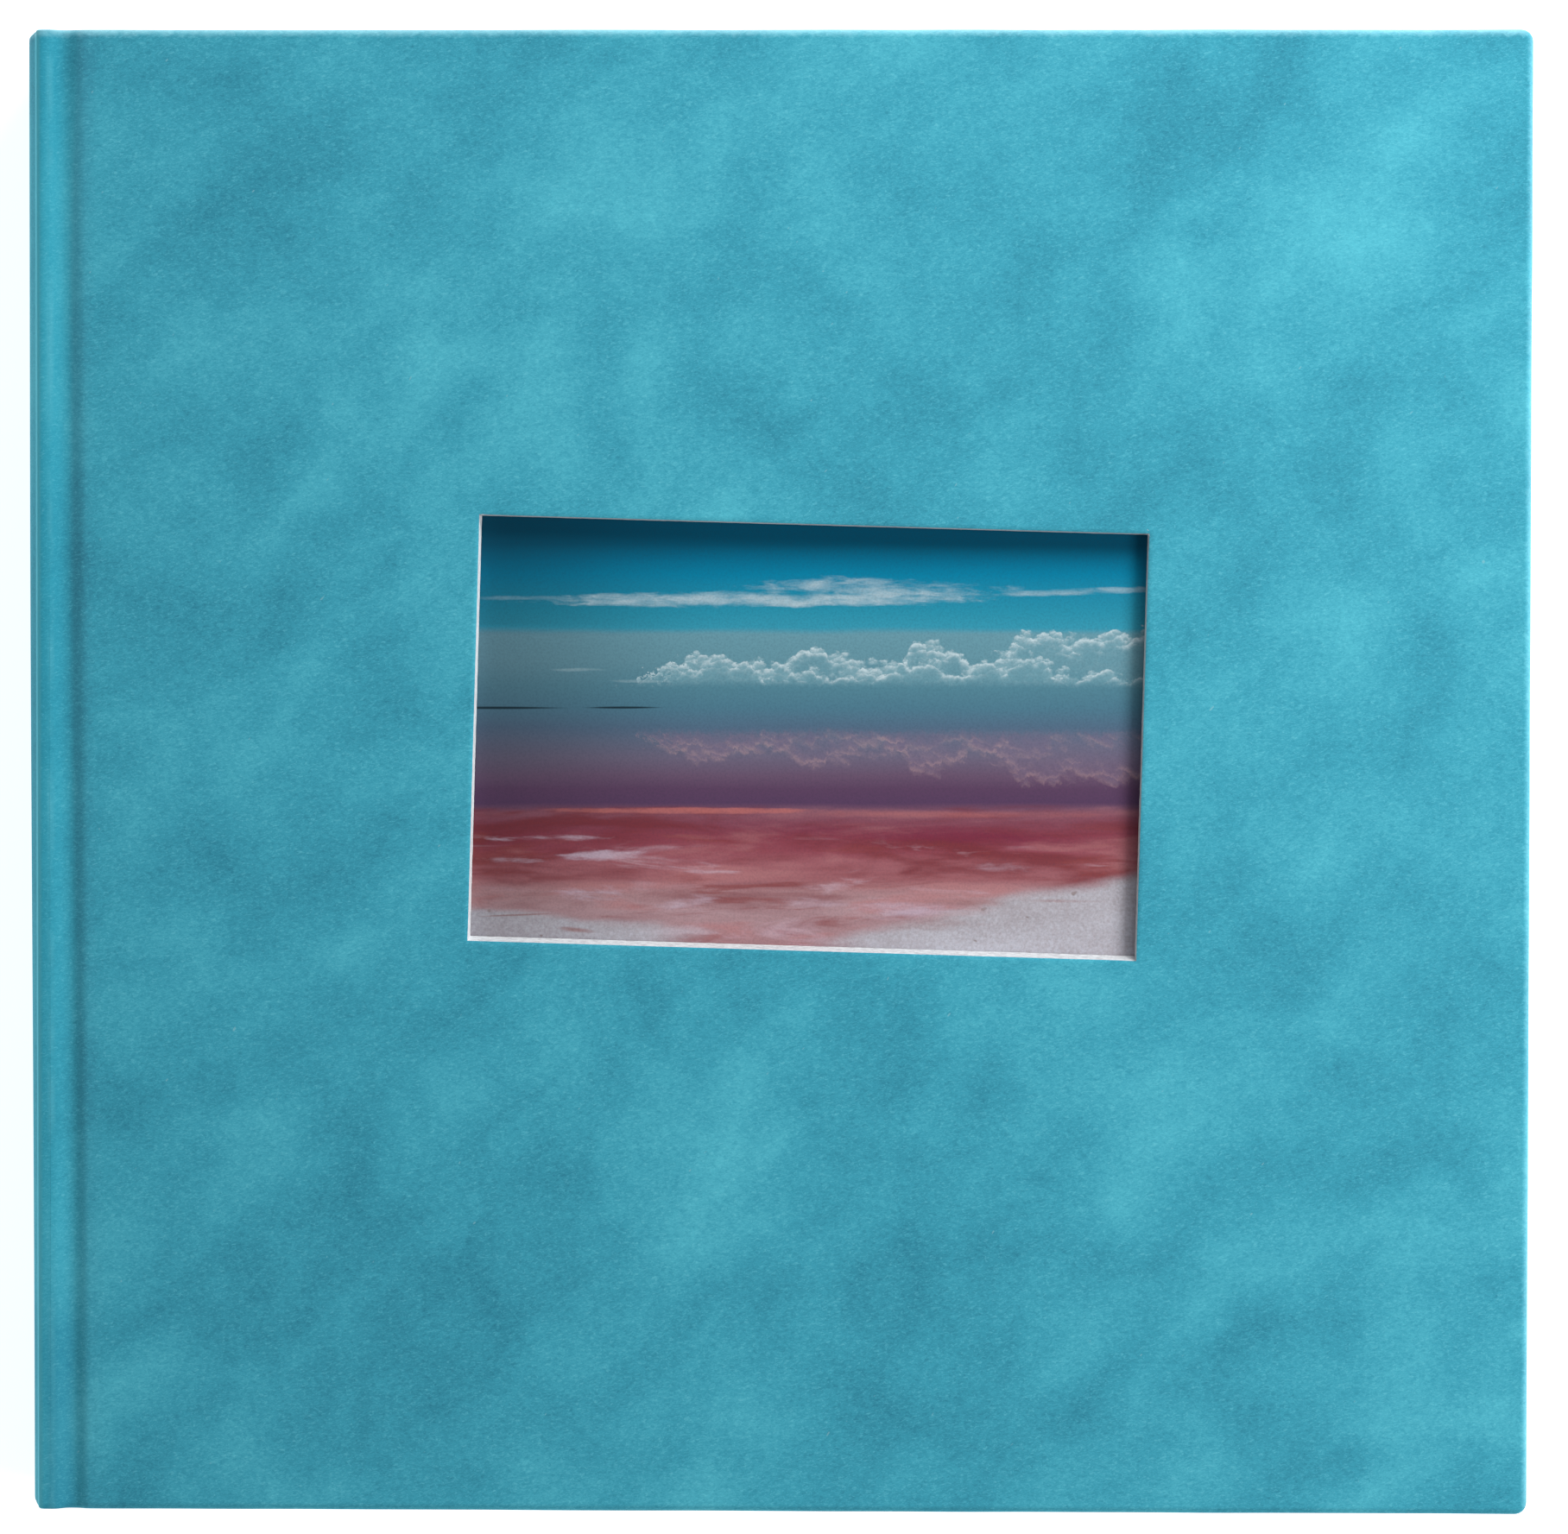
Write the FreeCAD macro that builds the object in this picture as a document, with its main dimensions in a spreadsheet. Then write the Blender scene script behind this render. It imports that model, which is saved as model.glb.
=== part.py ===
import FreeCAD, Part
import math
import os
import re

import Sketcher

# Case-bound scrapbook album, lying closed on its back cover.
# +X runs from the spine to the fore edge, +Y to the head, +Z out of the front cover.
# The origin is under the middle of the album, on the surface it lies on.

SIZES = [
    ("album_width", 312.0, "closed album, spine to fore edge"),
    ("album_height", 306.0, "cover, tail to head"),
    ("album_thick", 33.6, "closed album, back cover to front cover"),
    ("skin_thick", 0.5, "covering material"),
    ("board_thick", 2.6, "cover boards"),
    ("filler_thick", 0.5, "filler cards, level with the turn-ins"),
    ("lining_thick", 0.2, "pastedowns"),
    ("turn_in", 15.0, "covering turned in over the boards' edges"),
    ("corner_radius", 2.5, "fore-edge corners of the covers"),
    ("rim_radius", 1.4, "soft outer rim of the covers"),
    ("joint_width", 14.5, "spine's outer face to the covered edge of a board"),
    ("fold_inset", 3.6, "spine's outer face to the folds of the spine"),
    ("fold_gap", 0.35, "from a fold's axis to the covering on each side"),
    ("slope_width", 0.75, "fold of the spine to the top of the shoulder, across"),
    ("slope_height", 3.48, "fold of the spine to the top of the shoulder, in height"),
    ("shoulder_width", 3.05, "top of the shoulder"),
    ("shoulder_drop", 0.23, "how much the top of the shoulder falls towards the groove"),
    ("groove_foot", 1.1, "foot of the shoulder to the fold of the front groove"),
    ("joint_bend", 0.9, "bends of the covering at the shoulder and the groove"),
    ("groove_inset", 11.1, "spine's outer face to the fold of the front groove"),
    ("groove_left", 0.6, "groove's fold to the joint strip"),
    ("groove_right", 0.1, "groove's fold to the front cover's lip"),
    ("spine_board", 1.2, "curved spine card"),
    ("spine_margin", 1.4, "spine card's edges to the folds"),
    ("block_inset", 5.8, "spine's outer face to the back of the leaves"),
    ("square_width", 3.0, "cover beyond the leaves at head and tail"),
    ("fore_square", 4.0, "cover beyond the leaves at the fore edge"),
    ("leaf_thick", 0.3, "page card"),
    ("sheet_pitch", 0.8, "from one sheet to the next"),
    ("sheet_gap", 0.45, "flyleaf to pastedown"),
    ("stub_length", 8.0, "bound edge of the outermost sheets"),
    ("stub_growth", 0.5, "how much further in each next sheet is creased"),
    ("crease_gap", 0.25, "crease's axis to the sheet on each side"),
    ("leaf_count", 30, "leaves between the two flyleaves"),
    ("window_width", 138.2, "window in the covering"),
    ("window_height", 88.2, "window in the covering"),
    ("window_bevel", 0.5, "bevel on the window's cut edge"),
    ("window_rise", 7.3, "window above the middle of the cover"),
    ("window_turn", -1.6, "degrees by which the window was cut askew"),
    ("print_width", 152.0, "photographic print behind the window"),
    ("print_height", 102.0, "photographic print behind the window"),
    ("print_thick", 0.25, "photographic print"),
    ("print_travel", 20.0, "how far the print slides towards its mouth"),
    ("print_play", 0.5, "clearance round the print in its pocket"),
    ("mouth_width", 14.0, "slot in the lining that the print comes out of"),
    ("mouth_height", 108.0, "slot in the lining that the print comes out of"),
    ("band_radius", 1.2, "head and tail bands"),
    ("gauze_thick", 0.25, "mull glued to the back of the leaves"),
    ("liner_thick", 0.2, "kraft paper glued over the mull"),
]

doc = FreeCAD.newDocument("scrapbook_album")
sheet = doc.addObject("Spreadsheet::Sheet", "Sizes")
for row, (name, size, note) in enumerate(SIZES, start=1):
    sheet.set(f"A{row}", name)
    sheet.set(f"B{row}", str(size))
    sheet.set(f"C{row}", note)
    sheet.setAlias(f"B{row}", name)
doc.recompute()

# Places that several pieces share, as expressions of the sizes.
COVER = "(skin_thick + board_thick + filler_thick + lining_thick)"
BOARD_X = "(joint_width - album_width / 2)"
FORE_X = "(album_width / 2)"
HEAD_Y = "(album_height / 2)"
PAGE_Y = f"({HEAD_Y} - square_width)"
FOLD_X = "(fold_inset - album_width / 2)"
GROOVE_X = "(groove_inset - album_width / 2)"
BLOCK_X = "(block_inset - album_width / 2)"
PANEL_X = f"(({BOARD_X} + {FORE_X}) / 2)"
INNER_X = f"({FORE_X} - skin_thick - turn_in)"
INNER_Y = f"({HEAD_Y} - skin_thick - turn_in)"
LAST_SHEET = int(sheet.get("leaf_count")) + 1
PAGES_LOW = f"({COVER} + sheet_gap)"
PAGES_HIGH = f"(album_thick - {PAGES_LOW})"

# Clearances inside one body, where pieces are glued together.
GLUE = 0.05
EDGE_GAP = 0.2
# How far two pieces of covering run into each other where they are one piece of cloth.
SEAM_LAP = 0.3

subparts = []


def bound(text):
    """The text of an expression, with the sheet's name before each size."""
    return re.sub(r"\b[a-z]+_\w+", lambda found: f"Sizes.{found.group(0)}", str(text))


def number(text):
    return float(sheet.evalExpression(bound(text)))


def bind(thing, **expressions):
    """Binds properties to expressions. A double underscore stands for a dot."""
    for name, text in expressions.items():
        thing.setExpression(name.replace("__", "."), bound(text))


def keep(thing):
    """Counts an object, which is labelled with its node's name, among the sub-parts."""
    subparts.append(thing)


def box(label, x, y, z):
    """A box from pairs of expressions, low and high along each axis."""
    made = doc.addObject("Part::Box", label)
    bind(
        made,
        Length=f"{x[1]} - {x[0]}",
        Width=f"{y[1]} - {y[0]}",
        Height=f"{z[1]} - {z[0]}",
        Placement__Base__x=x[0],
        Placement__Base__y=y[0],
        Placement__Base__z=z[0],
    )
    return made


def new_sketch(body, name, height):
    sketch = body.newObject("Sketcher::SketchObject", name)
    plane = [f for f in body.Origin.OriginFeatures if f.Role == "XY_Plane"][0]
    sketch.AttachmentSupport = [(plane, "")]
    sketch.MapMode = "FlatFace"
    bind(sketch, AttachmentOffset__Base__z=height)
    return sketch


def hold(sketch, kind, geometry, point, expression):
    """Holds one coordinate of a point of the sketch to an expression."""
    constraint = Sketcher.Constraint(kind, -1, 1, geometry, point, number(expression))
    index = sketch.addConstraint(constraint)
    sketch.setExpression(f"Constraints[{index}]", bound(expression))


def add_rectangle(sketch, x, y):
    """A rectangle between pairs of expressions."""
    (x0, x1), (y0, y1) = map(number, x), map(number, y)
    corners = [(x0, y0), (x1, y0), (x1, y1), (x0, y1)]
    corners = [FreeCAD.Vector(a, b, 0) for a, b in corners]
    first = sketch.GeometryCount
    for i in range(4):
        sketch.addGeometry(Part.LineSegment(corners[i], corners[(i + 1) % 4]))
    for i in range(4):
        line, following = first + i, first + (i + 1) % 4
        sketch.addConstraint(Sketcher.Constraint("Coincident", line, 2, following, 1))
        kind = "Vertical" if i % 2 else "Horizontal"
        sketch.addConstraint(Sketcher.Constraint(kind, line))
    hold(sketch, "DistanceX", first, 1, x[0])
    hold(sketch, "DistanceY", first, 1, y[0])
    hold(sketch, "DistanceX", first + 2, 1, x[1])
    hold(sketch, "DistanceY", first + 2, 1, y[1])


def add_cover_outline(sketch, x, half, radius):
    """A rectangle between two x and at plus and minus half, rounded at its two high-x corners."""
    (x0, x1), h, r = map(number, x), number(half), number(radius)
    ends = [(x0, -h), (x1 - r, -h), (x1, r - h), (x1, h - r), (x1 - r, h), (x0, h)]
    ends = [FreeCAD.Vector(a, b, 0) for a, b in ends]
    slant = r * (1 - math.sqrt(0.5))
    corners = {1: (x1 - slant, slant - h), 3: (x1 - slant, h - slant)}
    for i in range(6):
        if i in corners:
            middle = FreeCAD.Vector(*corners[i], 0)
            piece = Part.Arc(ends[i], middle, ends[i + 1])
        else:
            piece = Part.LineSegment(ends[i], ends[(i + 1) % 6])
        sketch.addGeometry(piece)
    for line, arc in ((0, 1), (2, 1), (2, 3), (4, 3)):
        meets = (line, 2, arc, 1) if line < arc else (arc, 2, line, 1)
        sketch.addConstraint(Sketcher.Constraint("Tangent", *meets))
    for line, following in ((4, 5), (5, 0)):
        sketch.addConstraint(Sketcher.Constraint("Coincident", line, 2, following, 1))
    for line, kind in ((0, "Horizontal"), (2, "Vertical"), (4, "Horizontal"), (5, "Vertical")):
        sketch.addConstraint(Sketcher.Constraint(kind, line))
    sketch.addConstraint(Sketcher.Constraint("Equal", 1, 3))
    turned = sketch.addConstraint(Sketcher.Constraint("Radius", 1, r))
    sketch.setExpression(f"Constraints[{turned}]", bound(radius))
    hold(sketch, "DistanceX", 0, 1, x[0])
    hold(sketch, "DistanceY", 0, 1, f"-{half}")
    hold(sketch, "DistanceX", 2, 1, x[1])
    hold(sketch, "DistanceY", 4, 2, half)


def add_window(sketch, less):
    """The window's outline, smaller than in the covering by an expression on each side."""
    half_width = f"(window_width / 2 - {less})"
    half_height = f"(window_height / 2 - {less})"
    add_rectangle(sketch, (f"-{half_width}", half_width), (f"-{half_height}", half_height))
    bind(
        sketch,
        AttachmentOffset__Base__x=PANEL_X,
        AttachmentOffset__Base__y="window_rise",
        AttachmentOffset__Rotation__Angle="window_turn",
    )


def pad(body, sketch, length):
    made = body.newObject("PartDesign::Pad", "Pad")
    made.Profile = sketch
    bind(made, Length=length)
    sketch.Visibility = False
    doc.recompute()
    return made


def pocket_up(body, sketch, length):
    """Cuts upwards from the sketch, and makes sure that it does cut."""
    before = body.Shape.Volume
    made = body.newObject("PartDesign::Pocket", "Pocket")
    made.Profile = sketch
    made.Reversed = True
    bind(made, Length=length)
    doc.recompute()
    assert body.Shape.Volume < before - 1, f"{body.Label}: a pocket cuts nothing"
    return made


def dress(body, kind, base, chosen, size, expression):
    """A Fillet or Chamfer of the base feature's edges that chosen accepts."""
    edges = [f"Edge{i}" for i, e in enumerate(base.Shape.Edges, start=1) if chosen(e)]
    made = body.newObject(f"PartDesign::{kind}", kind)
    made.Base = (base, edges)
    bind(made, **{size: expression})
    doc.recompute()
    return made


def plate(label, outline, low, thick, holes=()):
    """A flat body: a cover outline or a rectangle, with rectangular holes through it."""
    body = doc.addObject("PartDesign::Body", label)
    sketch = new_sketch(body, "Outline", low)
    if len(outline) == 3:
        add_cover_outline(sketch, *outline)
    else:
        add_rectangle(sketch, *outline)
    for hole in holes:
        add_rectangle(sketch, *hole)
    pad(body, sketch, thick)
    return body


def cover_board(label, low):
    """A greyboard, as large as the covering's inside."""
    outline = (
        (f"{BOARD_X} + skin_thick", f"({FORE_X} - skin_thick)"),
        f"({HEAD_Y} - skin_thick)",
        "corner_radius - skin_thick",
    )
    return plate(label, outline, low, "board_thick")


def cover_shell(label, low, faces_up):
    """The covering round one board: its outer face, its edges and its turn-ins.

    low is where the shell's lower face is, and faces_up tells whether its upper face is the
    outer one. The turn-ins lie on the other side, and leave the board open along the spine.
    """
    whole = "(skin_thick + board_thick + filler_thick)"
    board_low = f"({low} + filler_thick)" if faces_up else f"({low} + skin_thick)"
    inside_low = low if faces_up else f"({low} + skin_thick + board_thick)"
    body = doc.addObject("PartDesign::Body", label)
    sketch = new_sketch(body, "Outline", low)
    add_cover_outline(sketch, (BOARD_X, FORE_X), HEAD_Y, "corner_radius")
    plain = pad(body, sketch, whole)
    rim = number(f"{low} + {whole}" if faces_up else low)

    def on_rim(edge):
        return all(abs(v.Z - rim) < 1e-6 for v in edge.Vertexes)

    dress(body, "Fillet", plain, on_rim, "Radius", "rim_radius")
    cavity = new_sketch(body, "Cavity", board_low)
    inside = (f"{BOARD_X} + skin_thick", f"({FORE_X} - skin_thick)")
    half = f"({HEAD_Y} - skin_thick)"
    add_cover_outline(cavity, inside, half, "corner_radius - skin_thick")
    pocket_up(body, cavity, "board_thick")
    frame = new_sketch(body, "TurnIns", inside_low)
    add_rectangle(frame, (f"{BOARD_X} + skin_thick", INNER_X), (f"-{INNER_Y}", INNER_Y))
    pocket_up(body, frame, "filler_thick")
    return body


def rounded_path(points, radius):
    """Edges of a path in the XZ plane through points, with its corners rounded."""
    edges, start = [], points[0]
    for before, corner, after in zip(points, points[1:], points[2:]):
        back = (before - corner).normalize()
        ahead = (after - corner).normalize()
        half_turn = (math.pi - back.getAngle(ahead)) / 2
        reach = radius * math.tan(half_turn)
        to_middle = radius / math.cos(half_turn) - radius
        middle = corner + (back + ahead).normalize() * to_middle
        first, last = corner + back * reach, corner + ahead * reach
        edges += [Part.makeLine(start, first), Part.Arc(first, middle, last).toShape()]
        start = last
    return edges + [Part.makeLine(start, points[-1])]


def joint_strip(label, end_x, faces_up):
    """The covering from a fold of the spine over the shoulder and down into the groove.

    Its section is a line thickened by half the covering to each side. It is drawn as on the
    back cover, and mirrored for the front cover.
    """
    skin, bend = number("skin_thick"), number("joint_bend")
    fold = FreeCAD.Vector(number(FOLD_X), 0, number(COVER))
    slope = FreeCAD.Vector(number("slope_width"), 0, -number("slope_height"))
    floor = number(COVER) - number("lining_thick") - skin / 2
    corner = fold + slope
    far_corner = corner + FreeCAD.Vector(number("shoulder_width"), 0, number("shoulder_drop"))
    groove_start = FreeCAD.Vector(number(f"{GROOVE_X} - groove_foot"), 0, floor)
    end = FreeCAD.Vector(number(end_x), 0, floor)
    start = fold + FreeCAD.Vector(slope).normalize() * number("fold_gap")
    middle_line = [start, corner, far_corner, groove_start, end]
    sides = []
    for side in (-1, 1):
        offset = []
        directions = [(b - a).normalize() for a, b in zip(middle_line, middle_line[1:])]
        normals = [FreeCAD.Vector(-d.z, 0, d.x) for d in directions]
        for i, point in enumerate(middle_line):
            met = [n for n in (i - 1, i) if 0 <= n < len(normals)]
            total = normals[met[0]] + normals[met[-1]]
            bisector = total.normalize()
            stretch = skin / 2 / bisector.dot(normals[met[0]])
            offset.append(point + bisector * stretch * side)
        sides.append(offset)
    edges = rounded_path(sides[0], bend) + rounded_path(sides[1], bend)
    edges.append(Part.makeLine(sides[0][0], sides[1][0]))
    edges.append(Part.makeLine(sides[0][-1], sides[1][-1]))
    section = Part.Face(Part.Wire(Part.sortEdges(edges)[0]))
    height = number("album_height")
    shape = section.extrude(FreeCAD.Vector(0, height, 0))
    shape.translate(FreeCAD.Vector(0, -height / 2, 0))
    if faces_up:
        mid = FreeCAD.Vector(0, 0, number("album_thick") / 2)
        shape = shape.mirror(mid, FreeCAD.Vector(0, 0, 1))
    made = doc.addObject("Part::Feature", label)
    made.Shape = shape
    return made


def curved_card(label, outside, thick, margin, half_length):
    """A card bent to the spine's curve.

    outside is its depth inside the covering's middle surface, which runs from fold to
    fold, and margin is how far its edges stay from the folds.
    """
    half_chord = f"(album_thick / 2 - {COVER})"
    rise = "(fold_inset - skin_thick / 2)"
    bend = f"(({half_chord} ^ 2 + {rise} ^ 2) / (2 * {rise}))"
    half_angle = f"(asin({half_chord} / {bend}) - {margin} / {bend} * 180 deg / pi)"
    centre_x = f"(skin_thick / 2 - album_width / 2 + {bend})"
    pies = []
    for name, radius in (("Outer", f"{bend} - {outside}"), ("Inner", f"{bend} - {outside} - {thick}")):
        pie = doc.addObject("Part::Cylinder", f"{label}{name}")
        bind(pie, Radius=radius, Height=f"2 * {half_length}", Angle=f"2 * {half_angle}")
        # The cylinder's own axis is laid along +Y, and its slice opens towards -X.
        upright = FreeCAD.Rotation(FreeCAD.Vector(1, 0, 0), -90)
        start = 180 - number(half_angle)
        about_axis = FreeCAD.Rotation(FreeCAD.Vector(0, 0, 1), start)
        pie.Placement.Rotation = upright * about_axis
        bind(
            pie,
            Placement__Base__x=centre_x,
            Placement__Base__y=f"-{half_length}",
            Placement__Base__z="album_thick / 2",
        )
        pies.append(pie)
    made = doc.addObject("Part::Cut", label)
    made.Base, made.Tool = pies
    return made


def joined(label, base, tool):
    made = doc.addObject("Part::Fuse", label)
    made.Base, made.Tool = base, tool
    return made


def group(label, members):
    made = doc.addObject("Part::Compound", label)
    made.Links = members
    return made


def make_back_cover():
    lining_low = f"({COVER} - lining_thick)"
    filler_low = "(skin_thick + board_thick)"
    keep(cover_board("back_board", "skin_thick"))
    shell = cover_shell("back_shell", "0", faces_up=False)
    strip = joint_strip("back_strip", f"{BOARD_X} + {SEAM_LAP}", faces_up=False)
    keep(joined("back_wrap", shell, strip))
    filler = box(
        "back_filler",
        (f"({BOARD_X} + skin_thick)", f"({INNER_X} - {EDGE_GAP})"),
        (f"(-{INNER_Y} + {EDGE_GAP})", f"({INNER_Y} - {EDGE_GAP})"),
        (filler_low, lining_low),
    )
    keep(filler)
    pastedown = box(
        "back_pastedown",
        (f"({BLOCK_X} + {EDGE_GAP})", f"({FORE_X} - fore_square)"),
        (f"(-{PAGE_Y})", PAGE_Y),
        (lining_low, COVER),
    )
    keep(pastedown)


def make_front_cover():
    inner = f"(album_thick - {COVER})"
    filler_low = f"({inner} + lining_thick)"
    board_low = f"({filler_low} + filler_thick)"

    board = cover_board("front_board", board_low)
    opening = new_sketch(board, "Window", board_low)
    add_window(opening, "window_bevel")
    cut = pocket_up(board, opening, "board_thick")
    top = number("album_thick - skin_thick")
    reach = number("window_width") / 2 + 5
    middle = number(PANEL_X)

    def window_rim(edge):
        return all(abs(v.Z - top) < 1e-6 and abs(v.X - middle) < reach for v in edge.Vertexes)

    dress(board, "Chamfer", cut, window_rim, "Size", "window_bevel")
    keep(board)

    shell = cover_shell("front_shell", filler_low, faces_up=True)
    hole = new_sketch(shell, "Window", "album_thick - skin_thick")
    add_window(hole, "0")
    pocket_up(shell, hole, "skin_thick")
    lip = box(
        "front_lip",
        (f"({GROOVE_X} + groove_right)", f"({BOARD_X} + {SEAM_LAP})"),
        (f"(-{HEAD_Y})", HEAD_Y),
        (filler_low, f"({filler_low} + skin_thick)"),
    )
    keep(joined("front_wrap", shell, lip))

    pocket_x = (
        f"({PANEL_X} - print_width / 2 - print_play)",
        f"({PANEL_X} + print_width / 2 + print_play + print_travel)",
    )
    pocket_half = "(print_height / 2 + print_play)"
    pocket_y = (f"(window_rise - {pocket_half})", f"(window_rise + {pocket_half})")
    filler = plate(
        "front_filler",
        (
            (f"({BOARD_X} + skin_thick)", f"({INNER_X} - {EDGE_GAP})"),
            (f"(-{INNER_Y} + {EDGE_GAP})", f"({INNER_Y} - {EDGE_GAP})"),
        ),
        filler_low,
        "filler_thick",
        holes=[(pocket_x, pocket_y)],
    )
    keep(filler)

    mouth_x = (f"({pocket_x[1]} - mouth_width)", pocket_x[1])
    mouth_y = ("(window_rise - mouth_height / 2)", "(window_rise + mouth_height / 2)")
    lining = plate(
        "front_pastedown",
        ((f"({GROOVE_X} + 4 * groove_right)", f"({FORE_X} - fore_square)"), (f"(-{PAGE_Y})", PAGE_Y)),
        inner,
        "lining_thick",
        holes=[(mouth_x, mouth_y)],
    )
    keep(lining)

    centred = "(filler_thick - print_thick) / 2"
    print_low = f"({filler_low} + {centred})"
    photo = box(
        "window_photo",
        (f"({PANEL_X} - print_width / 2)", f"({PANEL_X} + print_width / 2)"),
        ("(window_rise - print_height / 2)", "(window_rise + print_height / 2)"),
        (print_low, f"({print_low} + print_thick)"),
    )
    keep(photo)


def make_front_joint():
    strip = joint_strip("front_joint_wrap", f"{GROOVE_X} - groove_left", faces_up=True)
    keep(strip)
    lining = box(
        "front_joint_lining",
        (f"({BLOCK_X} + {EDGE_GAP})", f"({GROOVE_X} - groove_left / 2)"),
        (f"(-{PAGE_Y})", PAGE_Y),
        (f"(album_thick - {COVER})", f"(album_thick - {COVER} + lining_thick)"),
    )
    keep(lining)


def make_spine():
    skin_half = "skin_thick / 2"
    covering = curved_card("spine_wrap", f"(-{skin_half})", "skin_thick", "fold_gap", HEAD_Y)
    keep(covering)
    half_length = f"({HEAD_Y} - skin_thick)"
    card = curved_card("spine_card", skin_half, "spine_board", "spine_margin", half_length)
    keep(card)
    gauze_x = (f"({BLOCK_X} - {GLUE} - gauze_thick)", f"({BLOCK_X} - {GLUE})")
    liner_x = (f"({gauze_x[0]} - {GLUE} - liner_thick)", f"({gauze_x[0]} - {GLUE})")
    along = (f"(-{PAGE_Y} + square_width)", f"({PAGE_Y} - square_width)")
    keep(box("spine_gauze", gauze_x, along, (PAGES_LOW, PAGES_HIGH)))
    keep(box("spine_liner", liner_x, along, (PAGES_LOW, PAGES_HIGH)))
    for label, side in (("head_band", 1), ("tail_band", -1)):
        band = doc.addObject("Part::Cylinder", label)
        bind(
            band,
            Radius="band_radius",
            Height=f"{PAGES_HIGH} - {PAGES_LOW}",
            Placement__Base__x=f"{BLOCK_X} + band_radius",
            Placement__Base__y=f"{side} * ({PAGE_Y} + band_radius + {GLUE})",
            Placement__Base__z=PAGES_LOW,
        )
        keep(band)


def stub_end(index):
    """Where the bound part of the sheet at this place in the block ends."""
    return f"({BLOCK_X} + stub_length + stub_growth * {min(index, LAST_SHEET - index)})"


def sheet_low(index):
    return f"({PAGES_LOW} + {index} * sheet_pitch)"


def make_block():
    """Every sheet is a leaf hinged at its crease to a stub, with a guard between stubs."""
    across = (f"(-{PAGE_Y})", PAGE_Y)
    stubs, guards = [], []
    for index in range(LAST_SHEET + 1):
        low, end = sheet_low(index), stub_end(index)
        high = f"({low} + leaf_thick)"
        stubs.append(box(f"Stub{index}", (BLOCK_X, end), across, (low, high)))
        if index < LAST_SHEET:
            shorter = min(stub_end(index), stub_end(index + 1), key=number)
            between = (high, sheet_low(index + 1))
            guards.append(box(f"Guard{index}", (BLOCK_X, shorter), across, between))
        label = f"leaf_{LAST_SHEET - index:02d}"
        label = {0: "back_flyleaf", LAST_SHEET: "front_flyleaf"}.get(index, label)
        near = f"({end} + 2 * crease_gap)"
        leaf = box(label, (near, f"({FORE_X} - fore_square)"), across, (low, high))
        keep(leaf)
    keep(group("leaf_stubs", stubs))
    keep(group("page_guards", guards))


make_back_cover()
make_front_cover()
make_front_joint()
make_spine()
make_block()
doc.recompute()

failed = [o.Name for o in doc.Objects if {"Invalid", "Error"} & set(o.State)]
assert not failed, f"these objects failed: {failed}"
for part in subparts:
    shape = part.Shape
    assert not shape.isNull() and shape.isValid() and shape.Volume > 0, part.Label

os.makedirs("parts", exist_ok=True)
for part in subparts:
    part.Shape.exportStep(f"parts/{part.Label}.step")
print(f"{len(subparts)} sub-parts")
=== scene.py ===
import math
import random

import bmesh
import bpy
import numpy as np
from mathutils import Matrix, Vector, noise


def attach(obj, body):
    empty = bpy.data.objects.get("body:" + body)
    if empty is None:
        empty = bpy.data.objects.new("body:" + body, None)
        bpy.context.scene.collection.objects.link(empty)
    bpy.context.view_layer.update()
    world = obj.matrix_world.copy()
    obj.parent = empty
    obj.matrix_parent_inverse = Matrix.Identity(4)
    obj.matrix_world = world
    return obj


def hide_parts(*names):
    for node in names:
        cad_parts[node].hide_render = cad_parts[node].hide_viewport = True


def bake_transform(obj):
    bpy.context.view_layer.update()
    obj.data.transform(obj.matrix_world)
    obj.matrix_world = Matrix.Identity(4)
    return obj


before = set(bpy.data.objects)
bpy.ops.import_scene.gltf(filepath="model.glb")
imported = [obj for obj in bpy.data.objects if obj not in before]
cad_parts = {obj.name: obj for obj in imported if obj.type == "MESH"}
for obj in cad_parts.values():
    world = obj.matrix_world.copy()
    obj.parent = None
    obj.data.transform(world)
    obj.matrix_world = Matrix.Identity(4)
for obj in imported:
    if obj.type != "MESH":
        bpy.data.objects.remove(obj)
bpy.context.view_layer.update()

# Lengths are in millimetres until a mesh is made.
MM = 0.001
THICK = 33.6  # closed album
FORE = 156.0  # fore edge of the covers
HEAD = 153.0  # head of the covers, and the tail's distance from the middle
PAGE_TOP = 150.0  # head of the leaves and linings
SKIN = 0.5  # covering
RIM = 1.4  # from a cover's outline to its flat face
CORNER = 2.5  # fore-edge corners
TURN_IN = 15.5  # from a cover's outline to the end of the turn-ins
FACE_DEPTH = SKIN / 2  # covering's middle surface on the outer face
INNER_DEPTH = 3.35  # and on the inner face
FOLD = (-152.4, 3.8)  # a fold of the spine, as x and depth under the outer face
SPINE_CENTRE = (-128.85, THICK / 2)
SPINE_BEND = 26.9  # radius about that centre
WINDOW = (7.25, 7.3)  # middle of the window
WINDOW_HALF = (69.1, 44.1)
WINDOW_TURN = math.radians(-1.6)
WINDOW_RIM = 0.31  # how far from the window its edge dips
HINGE_X = -144.9  # fold of the front groove
HINGE_REACH = 3.3  # how far each side of it bends
CARD_THICK = 1.15  # the spine's card
CARD_MARGIN = 1.4  # from the card's edges to the folds
LINING_DEPTH = 3.7  # middle of the linings under the outer faces
LINING_THICK = 0.2
FORE_PAGE = 152.0  # fore edge of the leaves and linings
SLOT_X = (89.75, 103.75)  # slot that the print is changed through
SLOT_HALF = 54.0
SHEETS = 32  # leaves and the two flyleaves
PITCH = 0.8  # from one sheet to the next
SHEET_LOW = 4.25  # underside of the lowest sheet
LEAF_THICK = 0.3
LEAF_SEED = 100
CREASE = -141.95  # crease of the outermost sheets
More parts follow.
